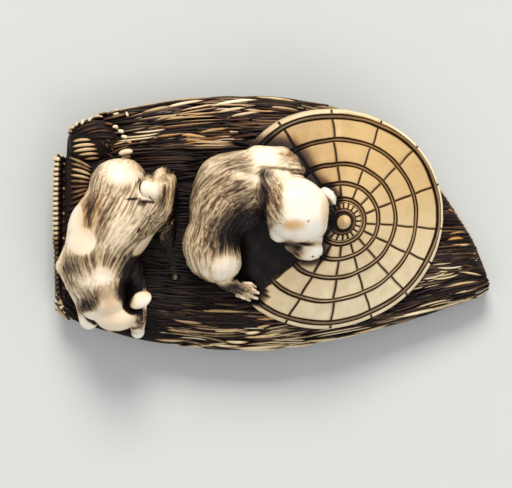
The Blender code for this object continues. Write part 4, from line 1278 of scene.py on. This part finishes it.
# %% The sitting puppy
sitting_guides = [
    ((1.6, 6.9, 3.6), (-1, 0.1, 0)), ((-1.5, 7.5, 3.6), (-1, -0.2, -0.1)),
    ((-4.5, 5.5, 3.6), (-0.8, -0.6, -0.2)), ((-6.5, 2.5, 2.6), (-0.45, -0.9, -0.2)),
    ((-7.3, -1.0, 2.1), (-0.1, -1, -0.2)), ((-7.0, -4.0, 1.6), (0.15, -1, -0.3)),
    ((-2.0, 4.0, 5.1), (-0.9, -0.35, 0)), ((-4.0, 1.5, 5.1), (-0.6, -0.8, 0)),
    ((-5.0, -2.0, 4.6), (-0.2, -1, -0.1)), ((-4.0, -5.0, 3.6), (0.05, -1, -0.4)),
    ((-1.5, 1.5, 3.1), (-0.8, -0.6, -0.2)), ((2.4, 4.0, 5.0), (0.6, -0.8, 0.2)),
    ((2.6, 1.0, 5.5), (0.5, -0.85, 0.2)), ((5.0, 6.8, 3.0), (1, -0.2, -0.2)),
    ((-2.0, -7.6, 0.8), (0.9, -0.4, 0)),
]
SITTING_TONE = {
    "coat": (-6.0, 1.2, 6.9, 4.7, 80, 0.4, 3.0),
    "behind the neck": (-2.45, 3.07, 1.8, 1.2, 0, 0.12),
    "flank": (-4.1, -0.6, 2.7, 2.2, 30, 0.42),
    # deep flank and behind the flank: dark fur, and painted shade in the hollow inside the curl.
    "deep flank": (-3.57, -1.74, 1.7, 1.3, 0, 0.3),
    "behind the flank": (-2.15, -0.67, 2.2, 2.0, 0, 0.5),
    "neck crease": (-1.0, 2.51, 3.3, 0.6, 90, 0.55),
    "hair on the cheek": (0.35, 2.6, 2.7, 1.2, 100, 0.45),
    "top of the crease": (-0.66, 5.42, 0.9, 0.6, 0, 0.35),
    "upper arm": (2.1, 7.1, 1.7, 1.1, -20, 0.36),
    "end of the foreleg": (4.0, 6.2, 1.0, 1.2, 0, 0.6),
    "front of the haunch": (-6.2, -2.6, 0.9, 1.3, 0, 0.12),
    "shoulder": (-3.5, 6.8, 2.6, 1.0, 20, 0.16),
    "below the knee": (-7.48, -6.77, 1.7, 0.6, -30, 0.35),
    "hock": (-5.25, -7.44, 1.3, 0.6, 0, 0.5),
    "hind foot": (-3.57, -7.44, 1.7, 0.9, -20, 0.58),
    # eye socket and under the chin: painted shade under the brow and under the chin.
    "eye socket": (3.9, -2.35, 1.1, 0.4, 0, 0.3),
    "under the chin": (-1.11, -1.74, 1.0, 1.0, 0, 0.5),
}
SITTING_BARE = {
    "head": (3.75, 1.8, 2.6, 3.7, 0, 1.4),
    "cheek": (2.7, -2.95, 1.5, 0.85, -15, 1.2),
    "near ear": (0.79, -1.35, 1.15, 1.0, 0, 1.3),
    "muzzle": (4.7, -3.5, 1.6, 0.85, 0, 1.2),
    "muzzle corner": (2.58, -3.69, 0.5, 0.3, 0, 0.8),
    "foreleg": (-0.7, 7.2, 1.6, 1.0, 0, 0.95),
    "left of the shoulder": (-6.3, 6.0, 1.2, 0.8, 20, 0.4),
    "knee": (-5.13, -5.1, 1.6, 1.6, 0, 0.75),
    "highlight": (-3.0, 5.08, 2.0, 0.5, -12, 0.6),
}
SITTING_CUTS = {
    "eye": (3.7, -2.45, 0.72, 0.2, -6, 0.75),
    "bridge of the nose": (5.0, -2.35, 0.75, 0.35, 0, 0.25),
    "below the arm": (1.3, 5.95, 2.3, 0.2, -6, 0.45),
    # cheek: painted shade between the near ear and the muzzle.
    "cheek": (2.35, -3.0, 1.35, 0.8, -28, 0.62),
    "nostril": (4.58, -3.86, 0.17, 0.13, 0, 0.6),
    "pore": (4.03, 0.08, 0.15, 0.15, 0, 0.45),
    "far ear fold": (6.59, 2.17, 0.78, 0.2, -60, 0.5),
    "lip corner": (2.8, -3.64, 0.45, 0.13, -40, 0.4),
}
SITTING_WARM = {
    "stain on the brow": (2.35, -0.3, 1.3, 0.61, 4, 0.75),
    "right of the head": (5.8, 1.16, 0.45, 1.78, 0, 0.35),
    "upper foreleg": (2.23, 7.51, 1.56, 0.56, -15, 0.35),
    "lip": (2.12, -3.69, 0.28, 0.22, 0, 0.5),
    "knee shade": (-8.02, -6.42, 1.11, 0.67, -30, 0.3),
}
sitting_puppy = make_puppy("sitting_puppy", SITTING_PLACE, SITTING, sitting_guides, SITTING_TONE,
                           SITTING_BARE, SITTING_CUTS, SITTING_WARM)

# %% [markdown]
# The puppy at the collar crouches with its rump up and its chest down on its forelegs. It has cream patches
# with crisp outlines on its sides, and for those the oval has a high edge number.

# %% The crouching puppy
crouching_guides = [
    ((-0.5, 6.0, 3.5), (-0.3, -0.9, 0.1)), ((-2.6, 3.0, 3.0), (-0.35, -0.95, 0)),
    ((1.0, 2.5, 4.5), (-0.45, -0.9, 0)), ((-0.5, -1.0, 4.8), (-0.5, -0.85, 0)),
    ((5.2, 3.5, 3.2), (-0.2, -1, 0)), ((4.2, 0, 3.4), (-0.75, -0.65, -0.1)),
    ((2.2, -2.0, 3.4), (-0.7, -0.7, 0)), ((-4.0, -1.5, 3.6), (-0.2, -1, 0)),
    ((-3.8, -5.0, 3.2), (0.2, -1, -0.1)), ((-1.5, -6.5, 3.4), (0, -1, -0.1)),
    ((-3.6, -8.5, 1.6), (0.45, -0.9, -0.2)), ((0.8, -5.0, 3.0), (-0.5, -0.85, 0)),
]
CROUCHING_TONE = {
    "coat": (-17.2, 0.0, 7.0, 3.8, 75, 0.27, 3.0),
    "left of the back": (-20.2, 2.3, 1.8, 1.1, 70, 0.22),
    "right haunch": (-12.3, 3.5, 1.8, 2.6, 0, 0.25),
    "blaze": (-18.3, -8.3, 1.4, 1.2, 0, 0.9),
    "left of the rump": (-19.9, 5.3, 1.1, 1.8, 0, 0.3),
    "upper arm": (-22.5, -4.3, 1.5, 1.3, 0, 0.22),
    "right of the rump": (-14.64, 5.75, 0.5, 1.2, 0, 0.26),
    "muzzle": (-17.7, -10.6, 2.0, 1.4, 0, 0.45),
    "brown patch": (-20.56, 0.94, 1.9, 0.85, 85, 0.14),
    "wrist": (-20.9, -9.6, 1.2, 0.9, 0, 0.6),
    "shoulder": (-21.46, -4.76, 1.5, 1.4, 0, 0.36),
    "between the shoulders": (-19.2, -4.2, 1.4, 0.8, 0, 0.12),
    "neck": (-16.65, -4.42, 1.7, 1.3, 0, 0.26),
    "middle back": (-18.33, 0.83, 2.2, 0.8, 66, 0.15),
    "inside the haunch": (-12.18, 3.07, 1.5, 0.5, 88, 0.38),
    "top of the haunch": (-11.3, 6.3, 0.9, 0.9, 0, 0.7),
    "lower flank": (-13.41, 0.05, 2.0, 1.2, 52, 0.2),
    "under the flank": (-14.97, -2.97, 2.2, 0.8, 56, 0.2),
    # right of the crown: stain and painted shade in the hollow between the crown and the right ear.
    "right of the crown": (-16.09, -6.43, 1.7, 1.2, 75, 0.55),
    "left cheek": (-20.56, -8.4, 1.3, 0.9, -50, 0.3),
    "arm": (-23.0, -5.9, 2.6, 0.9, -65, 0.32),
    # right foreleg, right hind leg and right upper foreleg: stain and painted shade in the dark hollow along
    # the puppy's right side.
    "right foreleg": (-14.9, -10.6, 0.9, 1.7, 0, 0.4),
    "right hind leg": (-11.28, -3.98, 1.5, 3.7, 8, 1.1),
    "right upper foreleg": (-14.9, -6.0, 1.25, 2.4, -8, 0.9),
    "nose side": (-14.87, -10.58, 0.56, 0.9, 0, 0.3),
}
CROUCHING_BARE = {
    "upper cream patch": (-22.0, 0.5, 0.9, 1.7, 0, 1.4, 5),
    "left cream patch": (-21.23, -2.07, 1.6, 1.55, 0, 1.4, 5),
    "right cream patch": (-14.24, -2.52, 1.8, 0.5, 42, 1.3, 4),
    "tail": (-13.64, 3.6, 1.4, 1.15, 0, 1.4),
    "rump": (-16.4, 5.4, 2.0, 1.25, 4, 0.9),
    "crown": (-18.9, -5.88, 1.25, 0.95, 0, 0.75),
    "left elbow": (-24.1, -4.4, 0.8, 1.4, 0, 0.5),
    "muzzle": (-17.67, -10.58, 2.35, 1.68, 0, 1.3),
    "left paw": (-20.5, -11.1, 1.1, 1.1, 0, 1.4),
    "right paw": (-15.1, -12.71, 0.9, 0.56, 0, 1.4),
    "right ear": (-14.7, -8.7, 1.6, 1.2, 0, 1.3),
    "blaze": (-18.34, -8.34, 1.2, 1.4, 0, 0.9),
    "middle of the back": (-17.11, -0.96, 1.34, 2.01, -25, 0.4),
    "tip of the hind foot": (-10.84, -6.43, 0.3, 0.7, 0, 0.35),
}
CROUCHING_CUTS = {
    "under the tail": (-13.9, 2.3, 0.9, 0.18, -6, 0.55),
    "crease left of the tail": (-15.5, 2.6, 0.75, 0.13, 3, 0.6),
    "below the crease": (-14.5, 2.1, 0.45, 0.3, 0, 0.4),
    "pit": (-14.84, -0.9, 0.15, 0.29, -28, 0.6),
    # beside the head: a sunk notch between the head and the right ear, darkened as painted shade.
    "beside the head": (-16.3, -8.0, 0.75, 1.5, 8, 0.8),
    "under the chin": (-17.02, -12.38, 1.79, 0.18, -3, 0.3),
}
CROUCHING_WARM = {
    "blaze": (-18.23, -8.23, 1.12, 1.34, 0, 0.15),
    "brown patch": (-20.3, 1.2, 2.0, 1.5, 80, 0.35),
    "left cream patch": (-21.4, -1.6, 1.6, 2.0, 0, 0.14),
    "right cream patch": (-14.24, -2.52, 1.8, 0.5, 42, 0.25),
    "outline of the rump": (-15.43, 6.43, 1.01, 0.9, 0, 0.25),
    "haunch": (-11.18, 3.07, 0.67, 2.24, 0, 0.28),
    "right ear edge": (-14.09, -7.78, 0.78, 0.45, -20, 0.4),
    "muzzle": (-17.9, -10.69, 2.01, 1.57, 0, 0.15),
}
crouching_puppy = make_puppy("crouching_puppy", CROUCHING_PLACE, CROUCHING, crouching_guides, CROUCHING_TONE,
                             CROUCHING_BARE, CROUCHING_CUTS, CROUCHING_WARM)

# %% [markdown]
# ## Floor, light and camera
# The photograph looks straight down on the netsuke lying on pale grey paper. A large soft light comes from
# beyond the far edge, a little from the left, so the shade gathers along the near edge.

# %% Set the stage
CAMERA_PLACE = (-0.00178, -0.00241, 0.400)
LENS = 244.4
bm = bmesh.new()
bmesh.ops.create_grid(bm, x_segments=1, y_segments=1, size=1.5)
floor = add_object("floor", mesh_from(bm, "floor"))
floor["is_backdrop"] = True
paper = bpy.data.materials.new("paper")
paper.use_nodes = True
paper_shader = paper.node_tree.nodes["Principled BSDF"]
paper_shader.inputs["Base Color"].default_value = paint(203, 204, 200)
paper_shader.inputs["Roughness"].default_value = 0.9
floor.data.materials.append(paper)

world = bpy.data.worlds.new("studio")
scene.world = world
world.use_nodes = True
sky = world.node_tree.nodes["Background"]
sky.inputs["Color"].default_value = (0.93, 0.95, 1.0, 1)
sky.inputs["Strength"].default_value = 0.62


def soft_light(name, place, size, power, colour):
    """A square light that looks at the middle of the cape."""
    data = bpy.data.lights.new(name, "AREA")
    data.size = size
    data.energy = power
    data.color = colour
    light = add_object(name, data)
    light.location = place
    light.rotation_euler = (-Vector(place)).to_track_quat("-Z", "Y").to_euler()


soft_light("key", (-0.06, 1.13, 1.00), 0.62, 21.0, (1.0, 0.97, 0.92))
soft_light("fill", (0.55, -0.75, 0.95), 0.70, 3.5, (0.98, 0.98, 1.0))

camera = add_object("camera", bpy.data.cameras.new("camera"))
camera.location = CAMERA_PLACE
camera.data.sensor_width = 36
camera.data.lens = LENS
camera.data.clip_start = 0.01
scene.camera = camera
scene.view_settings.view_transform = "Standard"
print("camera height, mm:", round(camera.location.z / MM))

# %% [markdown]
# ## The last measure
# The dressed netsuke has to fill the same box as the imported solid, so its box is printed like the solid's.

# %% Print the dressed box and finish
dressed_box = [list(corner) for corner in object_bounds()]
print("dressed box, mm:", [[round(value / MM, 2) for value in corner] for corner in dressed_box])
